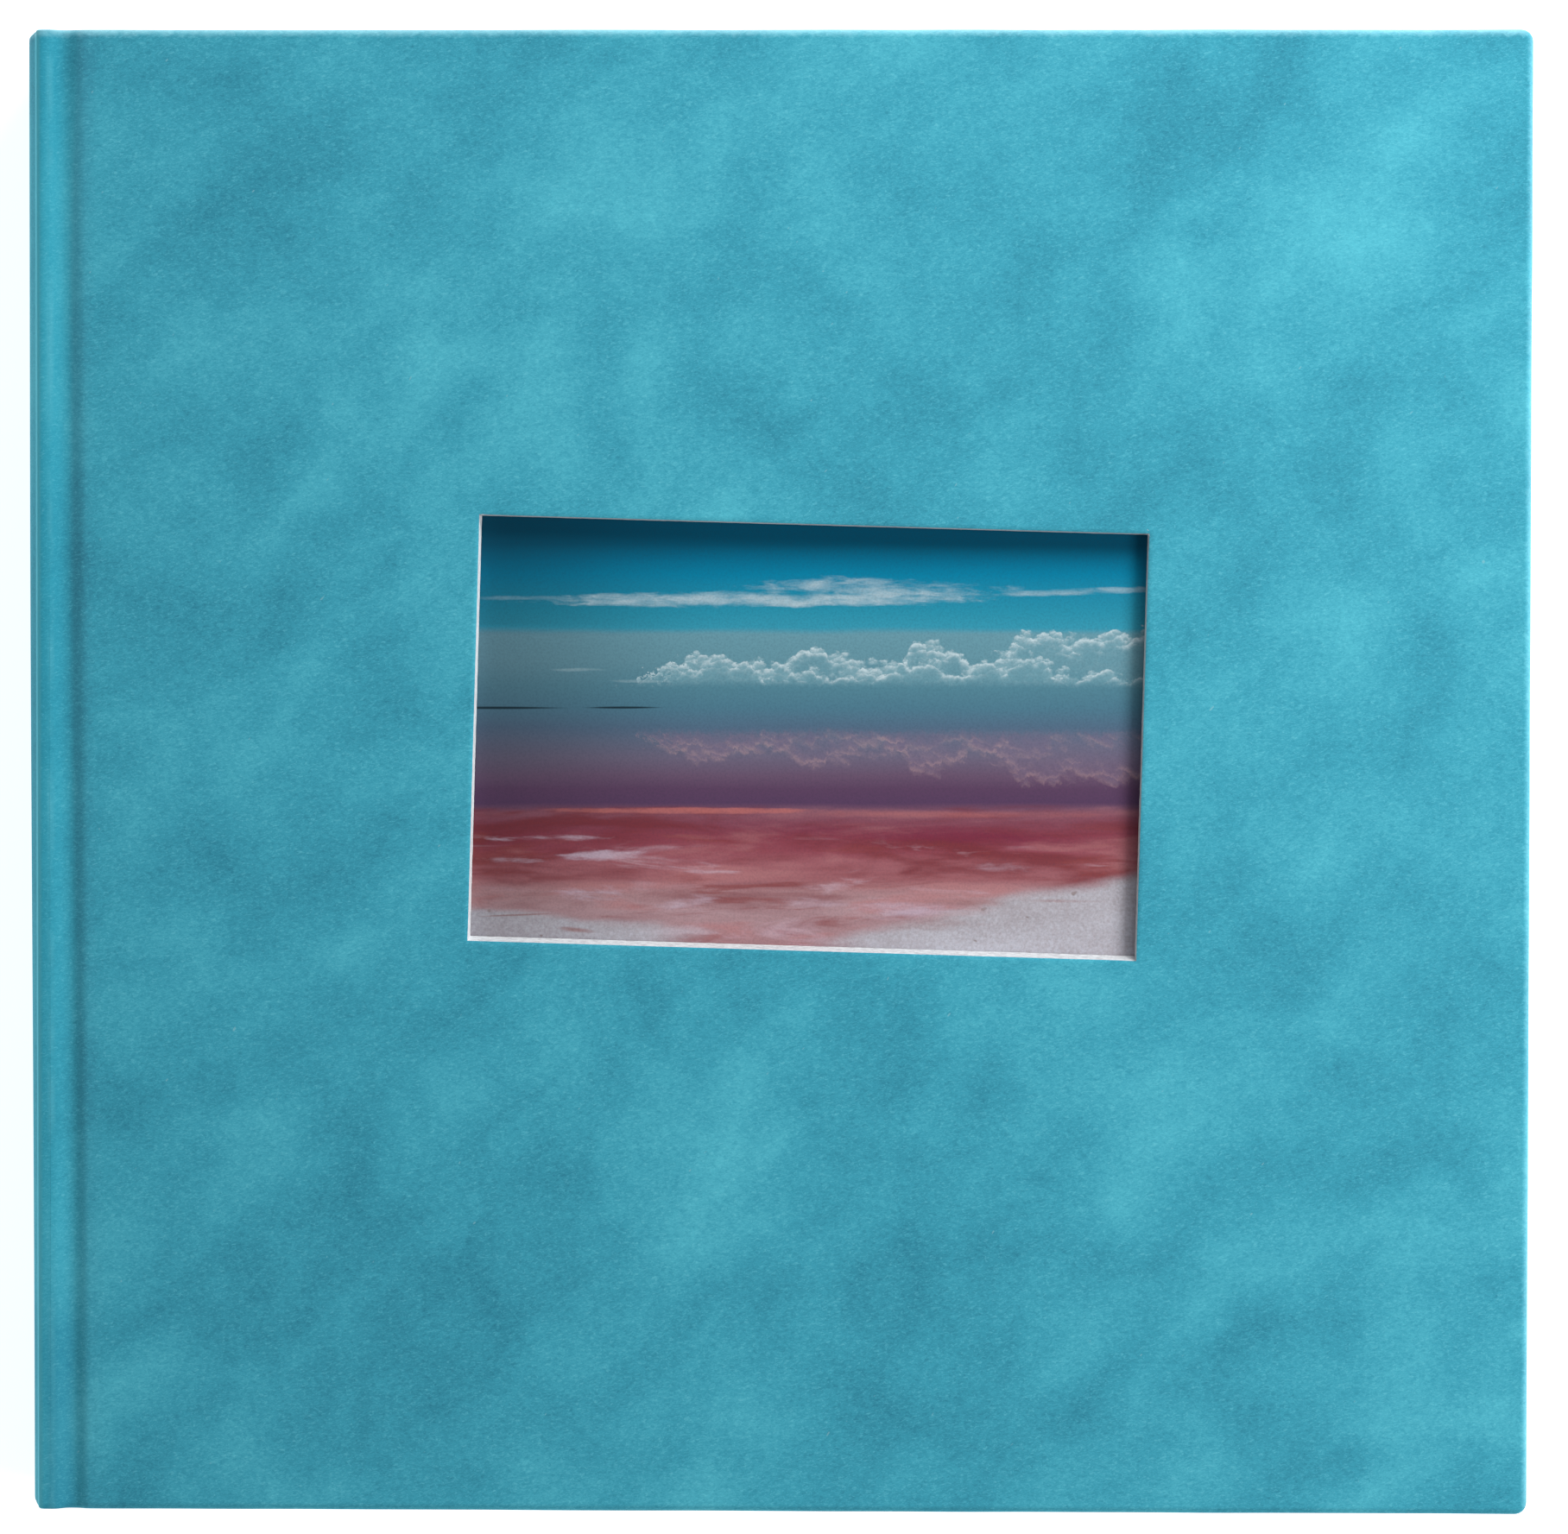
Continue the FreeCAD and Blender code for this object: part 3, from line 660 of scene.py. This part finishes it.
class Nodes:
    """A material and short ways to add its nodes."""

    def __init__(self, name, on_rest_place):
        self.material = bpy.data.materials.new(name)
        self.material.use_nodes = True
        self.tree = self.material.node_tree
        self.tree.nodes.clear()
        self.shader = self.new("BsdfPrincipled")
        self.new("OutputMaterial", {"Surface": self.shader.outputs["BSDF"]})
        if on_rest_place:
            place = self.new("Attribute", attribute_name="rest_place").outputs["Vector"]
        else:
            place = self.new("TexCoord").outputs["Object"]
        self.place = self.scaled(place, 1 / MM)  # millimetres

    def link(self, socket, value):
        if isinstance(value, bpy.types.NodeSocket):
            self.tree.links.new(value, socket)
        else:
            socket.default_value = value

    def new(self, kind, inputs=None, **settings):
        """A node with those settings, whose inputs are set or linked."""
        node = self.tree.nodes.new("ShaderNode" + kind)
        for key, value in settings.items():
            setattr(node, key, value)
        for key, value in (inputs or {}).items():
            self.link(node.inputs[key], value)
        return node

    def math(self, operation, *values):
        return self.new("Math", dict(enumerate(values)), operation=operation).outputs[0]

    def plus(self, a, b):
        return self.math("ADD", a, b)

    def less(self, a, b):
        return self.math("SUBTRACT", a, b)

    def times(self, a, b):
        return self.math("MULTIPLY", a, b)

    def off(self, value, middle):
        """How far a value is from a middle one."""
        return self.math("ABSOLUTE", self.less(value, middle))

    def most(self, *values):
        found, *others = values
        for value in others:
            found = self.math("MAXIMUM", found, value)
        return found

    def scaled(self, vector, by):
        return self.new("VectorMath", {0: vector, "Scale": by}, operation="SCALE").outputs[0]

    def axis(self, letter, vector=None):
        return self.new("SeparateXYZ", {0: vector or self.place}).outputs[letter]

    def vector(self, x, y, z=0.0):
        return self.new("CombineXYZ", {0: x, 1: y, 2: z}).outputs[0]

    def stretched(self, along, turn=0.0, across=1.0):
        """The place, drawn out along a direction turned from X by degrees."""
        inputs = {0: self.place, "Scale": (along, across, 1.0), "Rotation": (0, 0, math.radians(turn))}
        return self.new("Mapping", inputs, vector_type="TEXTURE").outputs[0]

    def noise(self, scale, detail=2.0, rough=0.5, vector=None, distortion=0.0):
        """Noise of 0 to 1, with scale features to the millimetre."""
        inputs = {"Scale": scale, "Detail": detail, "Roughness": rough, "Distortion": distortion}
        return self.new("TexNoise", {"Vector": vector or self.place, **inputs}).outputs["Fac"]

    def streaks(self, scale, detail, rough, along, turn=0.0, distortion=0.0):
        """Noise at the stretched place."""
        return self.noise(scale, detail, rough, self.stretched(along, turn), distortion)

    def total(self, found, *terms):
        """A value plus each share of how far its noise is from a half."""
        for share, noisy in terms:
            found = self.plus(found, self.times(self.less(noisy, 0.5), share))
        return found

    def rise(self, value, low, high, start=0.0, end=1.0):
        """A smooth step from start to end."""
        inputs = {"Value": value, "From Min": low, "From Max": high, "To Min": start, "To Max": end}
        return self.new("MapRange", inputs, interpolation_type="SMOOTHSTEP").outputs["Result"]

    def mix(self, share, a, b):
        return self.new("Mix", {"Factor": share, 6: a, 7: b}, data_type="RGBA").outputs[2]

    def over(self, base, share, colour):
        """base with that share of a colour of 0 to 255 over it."""
        return self.mix(share, base, linear(*colour))

    def ramp(self, value, stops):
        """A colour for each value: stops are (value, colour) with values of 0 to 1."""
        node = self.new("ValToRGB", {"Fac": value})
        elements = node.color_ramp.elements
        for i, (position, colour) in enumerate(stops):
            element = elements[i] if i < 2 else elements.new(position)
            element.position = position
            element.color = colour
        return node.outputs["Color"]

    def finish(
        self, colour, rough, height=None, strength=0.2, distance=0.1, sheen=0.0, tint=None, specular=0.5
    ):
        self.link(self.shader.inputs["Base Color"], colour)
        self.link(self.shader.inputs["Roughness"], rough)
        self.shader.inputs["Specular IOR Level"].default_value = specular
        if sheen:
            self.shader.inputs["Sheen Weight"].default_value = sheen
            self.shader.inputs["Sheen Roughness"].default_value = 0.5
            self.shader.inputs["Sheen Tint"].default_value = tint
        if height is not None:
            bump = self.new("Bump", {"Strength": strength, "Distance": distance * MM, "Height": height})
            self.link(self.shader.inputs["Normal"], bump.outputs[0])
        return self.material


def nubuck():
    """Turquoise nubuck-like covering: cloudy, with a short fibrous nap."""
    n = Nodes("turquoise_nubuck", True)
    rise, times, total = n.rise, n.times, n.total
    broad = n.streaks(0.014, 2, 0.5, 1.3, 38)
    clouds = n.streaks(0.034, 3, 0.5, 1.25, 40, 0.4)
    smudges = n.streaks(0.085, 3, 0.5, 1.25, 35, 0.4)
    nap = n.streaks(0.85, 3, 0.65, 1.4, -20, 0.7)
    fibre = n.streaks(2.6, 2, 0.75, 2.2, 12, 0.9)
    tone = total(0.5, (0.4, broad), (0.9, clouds), (0.4, smudges), (0.42, nap), (0.85, fibre))
    stops = (0, (42, 128, 154)), (0.5, (66, 172, 196)), (1, (98, 208, 226))
    base = n.ramp(tone, [(level, linear(*colour)) for level, colour in stops])
    # The joint's ridge has a fuller colour, and its groove is painted with a grey shade.
    x, y = n.axis("X"), n.axis("Y")
    ridge = rise(total(x, (3, nap)), -143.6, -148.6)
    ridge = times(ridge, rise(x, -152.3, -151.2, 0.25, 1))
    base = n.over(base, times(ridge, rise(y, -150, 100, 0.25, 0.5)), (40, 168, 196))
    # Painted shade along the joint's groove.
    across = n.less(x, rise(y, 40, -150, 0.25, 2.4))
    across = n.less(across, rise(y, 105, 152, 0, 1.3))
    groove_shade = rise(total(across, (0.8, nap)), -145.9, -144.3)
    groove_shade = times(groove_shade, rise(total(across, (2.2, nap)), -139.4, -144.4))
    base = n.over(base, times(groove_shade, rise(y, -150, 100, 0.12, 0.24)), (70, 124, 152))
    # The strip is darker at its tail end.
    dull = times(rise(x, -142.4, -146), rise(y, -92, -128, 0, 0.38))
    base = n.over(base, times(dull, rise(x, -151.4, -149, 0.1, 1)), (34, 122, 154))
    # The ridge and the spine's fold are rubbed paler in places.
    patchiness = n.streaks(0.12, 3, 0.6, 3, 90)
    for middle, reach, edges, colour in (
        (149.2, (1.1, 0.2), (0.42, 0.62), (104, 198, 216)),
        (152.1, (0.9, 0.1), (0.35, 0.65), (120, 190, 202)),
    ):
        rubbed = rise(n.math("ABSOLUTE", n.plus(x, middle)), *reach)
        rubbed = times(rubbed, rise(patchiness, *edges))
        base = n.over(base, times(rubbed, 0.3), colour)
    # Painted light: the fold's steep side, which faces away from the lamps, is painted paler, down to the
    # spine.
    steep_side_light = times(rise(x, -150.9, -151.6), rise(x, -153, -152.5))
    base = n.over(base, times(steep_side_light, 0.7), (98, 216, 238))
    base = n.over(base, rise(fibre, 0.55, 0.72, 0, 0.3), (118, 204, 220))
    # The head edge and the fore edge, which face the lamps, are painted paler: partly rubbed wear, partly
    # painted highlight on their rounded rims.
    rubs_and_highlight = rise(total(y, (1.6, nap)), 151, 153, 0, 0.6)
    rubs_and_highlight = n.most(rubs_and_highlight, rise(total(x, (1.6, nap)), 154.4, 156, 0, 0.3))
    base = n.over(base, times(rubs_and_highlight, rise(patchiness, 0.3, 0.55, 0.6, 1)), (168, 226, 238))
    specks = n.streaks(0.9, 1, 0.5, 2.2, 51)
    base = n.over(base, rise(specks, 0.8, 0.83, 0, 0.45), (150, 205, 214))
    height = total(0.5, (0.6, nap), (0.5, fibre))
    return n.finish(base, 0.88, height, 0.4, 0.1, sheen=0.15, tint=linear(140, 215, 232), specular=0.2)


def paper(name, colour, shade, on_rest_place, grain=0.9, flecks=None):
    """Plain paper or card with a fibrous grain."""
    n = Nodes(name, on_rest_place)
    soft = n.noise(0.012, 2)
    fine = n.streaks(grain, 3, 0.65, 1.6)
    base = n.mix(n.rise(soft, 0.3, 0.7, 0, 0.25), linear(*colour), linear(*shade))
    base = n.over(base, n.rise(fine, 0.4, 0.75, 0, 0.35), shade)
    if flecks:
        spots = n.streaks(1.3, 1, 0.5, 2.6, 20)
        base = n.over(base, n.rise(spots, 0.72, 0.76, 0, 0.7), flecks)
    return n.finish(base, 0.8, fine, 0.25, 0.06, specular=0.3)


def woven(name, colour, gap, pitch):
    """Open-weave cloth of two sets of threads in the plane of its piece."""
    n = Nodes(name, False)
    waves = [n.math("SINE", n.times(n.axis(letter), math.pi / pitch)) for letter in "YZ"]
    threads = n.most(*(n.math("ABSOLUTE", each) for each in waves))
    uneven = n.noise(0.4, 2)
    base = n.mix(n.rise(threads, 0.55, 0.85), linear(*gap), linear(*colour))
    base = n.over(base, n.rise(uneven, 0.3, 0.8, 0, 0.3), gap)
    return n.finish(base, 0.9, threads, 0.5, 0.15, specular=0.2)


def greyboard():
    """White-lined board, fibrous where it is cut."""
    n = Nodes("window_board_edge", True)
    layers = n.noise(2.2, 3, 0.6, n.stretched(3, 0, 3))
    fine = n.noise(3, 2, 0.6)
    base = n.mix(n.rise(layers, 0.35, 0.7), linear(228, 232, 235), linear(198, 200, 205))
    base = n.over(base, n.rise(fine, 0.5, 0.8, 0, 0.5), (250, 250, 250))
    return n.finish(base, 0.9, layers, 0.3, 0.08, specular=0.2)


def threads():
    """Two silks, white and turquoise, wound in turn."""
    n = Nodes("band_threads", True)
    # The threads lean a little as they go round.
    along = n.plus(n.axis("Z"), n.times(n.axis("X"), 0.12))
    turn = n.math("FRACT", n.math("DIVIDE", along, 2))
    side = n.rise(n.off(turn, 0.5), 0.235, 0.265)
    base = n.mix(side, linear(236, 234, 226), linear(58, 150, 172))
    fine = n.noise(4, 2, 0.6, n.stretched(4, 0, 4))
    base = n.over(base, n.rise(fine, 0.4, 0.8, 0, 0.3), (190, 200, 200))
    return n.finish(base, 0.55, fine, 0.3, 0.05, sheen=0.3, tint=(1, 1, 1, 1))


def landscape():
    """The print: a made-up evening shore, with the paper's white back."""
    n = Nodes("shore_print", False)
    rise, times, total = n.rise, n.times, n.total
    x, y = n.axis("X"), n.axis("Y")
    top, bottom, horizon = 60, -44, 13.4
    # Above 41 mm the sky's stops darken towards the top: painted shadow under the window's top edge.
    stops = [
        (-44, 150, 112, 118), (-34, 160, 122, 126), (-29, 174, 142, 147), (-25, 168, 130, 134),
        (-22, 156, 98, 104), (-18.6, 156, 94, 102), (-16.4, 142, 72, 84), (-13, 132, 62, 76),
        (-10.4, 128, 70, 86), (-8.2, 134, 84, 98), (-7.2, 104, 72, 96), (-6.2, 86, 61, 91),
        (-3.4, 90, 64, 92), (-0.6, 102, 80, 104), (3, 106, 98, 120), (6.5, 94, 104, 126),
        (9.4, 80, 105, 128), (13.5, 75, 119, 138), (17.5, 80, 128, 144), (23, 96, 142, 156),
        (28.6, 100, 148, 162), (29.8, 52, 146, 170), (33, 40, 140, 165), (41, 2, 122, 156),
        (44, 0, 104, 136), (47, 0, 82, 110), (60, 0, 78, 106),
    ]
    ripple = n.streaks(0.12, 3, 0.55, 5)
    level = n.math("DIVIDE", n.less(total(y, (1.5, ripple)), bottom), top - bottom)
    base = n.ramp(level, [((v - bottom) / (top - bottom), linear(*c)) for v, *c in stops])

    def paint(share, colour, strength=1):
        colour = colour if isinstance(colour, bpy.types.NodeSocket) else linear(*colour)
        return n.mix(times(share, strength), base, colour)

    def lens(x0, y0, half, thick, slope=0, frayed=0, soft=0.9):
        """1 inside a long thin lens, fading to 0 at its frayed rim."""
        across = n.less(x, x0)
        up = n.less(n.less(y, y0), times(across, slope))
        parts = [n.math("ABSOLUTE", n.math("DIVIDE", *of)) for of in ((across, half), (up, thick))]
        inside = n.less(1, n.plus(*(n.math("POWER", part, 2) for part in parts)))
        if frayed:
            inside = total(inside, (frayed, streaks), (0.8 * frayed, frays))
        return rise(inside, 0, soft)

    def lenses(*rows):
        """The most of several lenses, each given after its strength."""
        masks = [(row[0], lens(*row[1:])) for row in rows]
        return n.most(*(mask if share == 1 else times(mask, share) for share, mask in masks))

    # The left side is darker.
    deep = times(rise(x, -66, -4, 0.5, 0), rise(y, 28, 31, 0.1, 1))
    base = paint(times(deep, rise(y, -6, 0)), (10, 56, 74))
    dusk = times(rise(x, -66, -10, 0.36, 0), rise(y, -4, 4))
    base = paint(times(dusk, rise(y, 30.5, 28.5)), (56, 56, 66))

    # A long streak of high cloud.
    streaks = n.streaks(0.3, 5, 0.62, 7, 1, 0.3)
    frays = n.streaks(0.7, 3, 0.6, 4, -2, 0.4)
    cirrus = lenses(
        (1, -4, 35.8, 50, 1.8, 0.008, 2.2, 1.3),
        (1, 22, 38.2, 27, 2.4, -0.012, 2.6, 1.4),
        (0.7, 66, 37.6, 22, 0.9, 0.03, 2.6, 1.5),
        (0.3, -46, 36, 22, 0.6, 0, 2, 1.5),
    )
    base = paint(times(cirrus, rise(streaks, 0.25, 0.6, 0.55, 1)), (168, 190, 199), 0.95)

    # Two rows of heaped cloud over the horizon, and their reflection under it.
    far = n.less(n.off(y, horizon), 5.4)
    over = n.math("GREATER_THAN", y, horizon)
    wobble = n.streaks(0.5, 3, 0.6, 0.6)
    shaken = n.vector(total(x, (3.2, wobble)), total(far, (2.4, wobble)))
    place = n.mix(over, shaken, n.vector(x, far))
    along, height = n.axis("X", place), n.axis("Y", place)

    def puffs(scale, shift):
        """How near the middle of its puff a point is, and how high in it."""
        moved = n.vector(n.plus(along, shift), times(height, 1.25), shift)
        rough = n.noise(scale * 2.2, 2, 0.6, moved)
        moved = n.vector(*(total(n.axis(letter, moved), (0.9 / scale, rough)) for letter in "XY"))
        inputs = {"Vector": moved, "Scale": scale, "Smoothness": 0.25}
        cells = n.new("TexVoronoi", inputs, voronoi_dimensions="2D", feature="SMOOTH_F1")
        up = n.less(n.axis("Y", moved), n.axis("Y", cells.outputs["Position"]))
        return cells.outputs["Distance"], times(up, scale)

    wide, wide_up = puffs(0.2, 3)
    small, small_up = puffs(0.52, 17)
    crumbs = n.noise(1.1, 3, 0.65, place)
    lit = n.plus(times(wide_up, 0.8), times(small_up, 0.8))
    lit = rise(total(lit, (1.1, crumbs)), -0.5, 0.7, 0.15, 1)
    edge = n.less(times(wide, -3.6), times(small, 1.7))
    edge = total(edge, (1.6, crumbs))
    for low, high, scale, seed, start, deep_in in (
        (6, 13, 0.062, 21, -26, 5), (3.4, 7.4, 0.11, 64, -31, 3),
    ):
        swell = n.noise(scale, 2, 0.5, n.vector(along, 4, seed))
        crown = rise(swell, 0.34, 0.66, low, high)
        crown = times(crown, rise(total(along, (16, crumbs)), start, start + 8))
        inside = n.less(n.plus(crown, edge), height)
        crisp = times(rise(inside, 0, 1.1), over)
        blurred = times(rise(inside, -0.6, 3.2), n.less(1, over))
        foot = rise(total(height, (2, crumbs)), -1.4, 1.2)
        body = times(n.plus(crisp, blurred), foot)
        rim = times(rise(inside, deep_in, 0.3, 0.12, 1), lit)
        cloud = n.mix(rim, linear(104, 150, 163), linear(198, 215, 220))
        echo = n.mix(rim, linear(112, 100, 126), linear(188, 154, 154))
        body = times(body, rise(inside, 5.5, 1, 0.35, 1))
        base = paint(times(body, rise(over, 0, 1, 0.6, 0.94)), n.mix(over, echo, cloud))
    thin = lenses((1, -40.5, 21.2, 7, 0.5, 0.02, 1.6), (1, -27, 18.8, 7, 0.5, -0.02, 1.6))
    base = paint(thin, (150, 176, 184), 0.4)

    # A low dark shore on the left.
    shore = lenses((1, -58, 13.3, 17, 0.36), (1, -31, 13.4, 9, 0.3, 0.004))
    base = paint(shore, (20, 36, 44), 0.9)

    # Red shallows with darker and paler drifts.
    water = rise(total(y, (1.6, ripple)), -6.4, -7.6)
    drift = n.streaks(0.15, 4, 0.55, 5.5, 1, 0.4)
    swirl = n.streaks(0.4, 3, 0.55, 6, -1, 0.3)
    mixed = total(drift, (0.35, swirl))
    dark = times(rise(mixed, 0.54, 0.3, 0, 0.8), rise(y, -30, -20, 0.4, 1))
    base = paint(times(dark, water), (116, 48, 54))
    seams = n.streaks(0.24, 4, 0.6, 6.5, 1, 0.6)
    ruddy = times(rise(seams, 0.52, 0.66), rise(y, -9, -13))
    base = paint(times(ruddy, water), (132, 62, 62), 0.6)
    pale = times(rise(mixed, 0.5, 0.66), times(water, rise(y, -8, -26, 0.25, 0.6)))
    base = paint(pale, (178, 122, 124))
    crest = lenses((1, -16, -7.9, 34, 0.8, 0, 1.4), (1, 38, -8.6, 40, 0.9, 0, 1.4, 2.4))
    base = paint(crest, (184, 108, 104), 0.75)
    base = paint(lens(36, -13, 44, 2.4, -0.03, 2.4, 1.6), (118, 44, 66), 0.75)
    beds = lenses(
        (1, -36, -17.2, 9, 1.1, 0.03, 4.5, 1.8),
        (1, -41, -13.6, 8, 0.7, 0, 4.5, 2.2),
        (1, -55, -18, 8, 0.8, 0, 4.5, 2.2),
        (1, -37, -24.8, 9, 1.7, -0.03, 4.5, 2),
        (1, -17, -27, 8, 2.2, 0.08, 4.5, 2.4),
        (1, -57, -13.8, 6, 0.6, 0, 4.5, 2.2),
        (0.6, 8, -27, 9, 1.6, 0, 4.5, 2.4),
        (0.5, 46, -19.6, 9, 1.2, 0, 4.5, 2.4),
        (0.9, 28, -28.2, 15, 2.8, 0.08, 4.5, 2.4),
    )
    base = paint(beds, (192, 172, 188), 0.85)
    veils = n.streaks(0.2, 4, 0.6, 5.5, -2, 0.7)
    veiled = times(rise(y, -11, -17), rise(veils, 0.55, 0.72))
    base = paint(veiled, (196, 168, 180), 0.6)

    # Salt and sand in the foreground.
    bank = n.streaks(0.1, 4, 0.55, 3.4, 4, 0.3)
    shift = total(y, (5, bank), (2, swirl))
    right = rise(n.plus(shift, times(x, -0.2)), -34.4, -37.6)
    right = times(right, rise(total(x, (16, swirl)), 2, 22))
    left = rise(n.plus(shift, times(x, 0.1)), -33.2, -35.4)
    left = times(left, rise(total(x, (16, swirl)), -10, -30))
    sand = n.most(right, left)
    grain = n.noise(1.5, 3, 0.6)
    patches = n.streaks(0.16, 4, 0.6, 3, 5)
    mottled = rise(total(grain, (0.7, patches)), 0.2, 0.8)
    tone = n.mix(mottled, linear(166, 161, 168), linear(186, 186, 195))
    base = paint(sand, tone, 0.94)
    stones = n.streaks(0.36, 1, 0.5, 1.4, 12)
    base = paint(times(sand, rise(stones, 0.72, 0.75)), (120, 98, 90), 0.6)
    bars = lenses(
        (1, 38, -26.8, 14, 1.1, -0.02, 2.4, 2.2),
        (1, 58, -26.4, 12, 0.5, -0.01, 1.4, 2.2),
        (0.6, 32, -31.4, 15, 2, 0.02, 2.4, 2.6),
        (1, -41, -32.6, 4.4, 0.7, -0.1, 1.2, 1.4),
        (0.6, -53, -29.6, 9, 0.25, 0.04, 0.6),
    )
    base = paint(bars, (142, 84, 78), 0.85)
    dots = n.noise(2.2, 2, 0.6)
    base = paint(rise(dots, 0.35, 0.75, 0, 0.16), (30, 46, 62))
    # The print is lighter towards the right.
    dim = rise(y, -12, 20, 0.84, 1.1)
    gain = n.plus(times(n.less(1.26, dim), rise(x, -64, -12)), dim)
    face = n.math("GREATER_THAN", n.axis("Z"), 30.35)
    base = n.mix(face, linear(232, 232, 230), n.scaled(base, gain))
    return n.finish(base, 0.55, dots, 0.04, 0.03, specular=0.08)


cloth = nubuck()
page_card = paper("page_card", (224, 219, 206), (208, 202, 187), True)
lining = paper("lining_paper", (216, 211, 199), (202, 196, 183), True, grain=0.7)
board_edge = greyboard()
silk = threads()
print_face = landscape()
grey = paper("greyboard", (168, 164, 156), (142, 138, 130), False, grain=1.4, flecks=(96, 92, 88))
filler = paper("filler_card", (226, 222, 212), (208, 203, 192), False)
guard = paper("guard_card", (230, 226, 215), (214, 209, 196), False)
kraft = paper("kraft_paper", (176, 136, 92), (150, 112, 72), False, grain=1.2)
mull = woven("gauze_weave", (232, 228, 214), (150, 132, 104), 0.9)


def wear(material, slot, *things):
    for thing in things:
        thing.data.materials.clear()
        thing.data.materials.append(material)


wear(cloth, "covering", front_covering, spine_covering, back_covering)
wear(lining, "lining_paper", front_endpaper, back_endpaper, front_strip, back_strip)
wear(board_edge, "greyboard", board, fray_left, fray_right)
wear(grey, "spine_card", card)
wear(silk, "band_cloth", head_thread, tail_thread)
for made, node, crease, place in pages:
    wear(page_card, "lining_paper" if "flyleaf" in node else "page_card", made)
for node, material in {
    "back_board": grey, "back_filler": filler, "front_filler": filler,
    "spine_gauze": mull, "spine_liner": kraft, "page_guards": guard, "window_photo": print_face,
}.items():
    wear(material, None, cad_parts[node])

# ---- what moves with what


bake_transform(front_covering)
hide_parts("front_wrap")
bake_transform(spine_covering)
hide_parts("spine_wrap", "front_joint_wrap")
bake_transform(back_covering)
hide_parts("back_wrap")
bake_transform(front_endpaper)
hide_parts("front_pastedown", "front_joint_lining")
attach(back_endpaper, "back_cover")
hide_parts("back_pastedown")
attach(board, "front_cover")
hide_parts("front_board")
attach(card, "spine")
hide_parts("spine_card")
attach(fray_left, "front_cover")
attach(fray_right, "front_cover")
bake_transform(front_strip)
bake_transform(back_strip)
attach(head_thread, "spine")
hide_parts("head_band")
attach(tail_thread, "spine")
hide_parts("tail_band")
for made, node, crease, place in pages:
    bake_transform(made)
    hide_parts(node, "leaf_stubs")

# ---- floor, light and camera


def lamp(name, place, target, width, height, power):
    light = bpy.data.lights.new(name, "AREA")
    light.shape = "RECTANGLE"
    light.size, light.size_y = width * MM, height * MM
    light.energy = power
    made = scene_object(name, light)
    made.location = Vector(place) * MM
    made.rotation_euler = (Vector(target) - Vector(place)).to_track_quat("-Z", "Y").to_euler()


FLOOR_HALF = 9  # metres
FLOOR_LOW = 0.15  # under the part, so that their faces stay apart
CAMERA_PLACE = (20.4, 28.0, 1149.8)
CAMERA_TURN = (-1.372, 0.928, 0.083)  # degrees

floor_mesh = bpy.data.meshes.new("floor")
corners = [(a * FLOOR_HALF, b * FLOOR_HALF, 0) for a, b in ((-1, -1), (1, -1), (1, 1), (-1, 1))]
floor_mesh.from_pydata(corners, [], [(0, 1, 2, 3)])
floor = scene_object("floor", floor_mesh)
floor.location.z = -FLOOR_LOW * MM
n = Nodes("pale_floor", False)
mottle = n.noise(0.004, 2.0)
n.finish(n.mix(mottle, linear(236, 236, 237), linear(243, 243, 243)), 0.9, specular=0.1)
n.shader.inputs["Emission Strength"].default_value = 0.8
floor_mesh.materials.append(n.material)

lamp("key", (490, 754, 470), (7, 7, 33), 700, 300, 8.0)
lamp("side", (905, -160, 800), (0, 0, 33), 700, 500, 6.6)

world = bpy.data.worlds.new("studio")
bpy.context.scene.world = world
world.use_nodes = True
tree = world.node_tree
direction = tree.nodes.new("ShaderNodeTexCoord").outputs["Generated"]
split = tree.nodes.new("ShaderNodeSeparateXYZ")
tree.links.new(direction, split.inputs[0])
shade = tree.nodes.new("ShaderNodeValToRGB")
tree.links.new(split.outputs["Z"], shade.inputs["Fac"])
low_sky, high_sky = shade.color_ramp.elements
low_sky.position, low_sky.color = 0.08, (0.95, 0.95, 0.95, 1)
high_sky.position, high_sky.color = 0.34, (0.185, 0.187, 0.191, 1)
tree.links.new(shade.outputs["Color"], tree.nodes["Background"].inputs["Color"])

camera = bpy.data.cameras.new("camera")
camera.lens, camera.sensor_width = 124.35, 36.0
camera.clip_start, camera.clip_end = 0.05, 30.0
view = scene_object("camera", camera)
view.location = Vector(CAMERA_PLACE) * MM
view.rotation_euler = [math.radians(angle) for angle in CAMERA_TURN]
bpy.context.scene.camera = view
bpy.context.scene.view_settings.view_transform = "Standard"
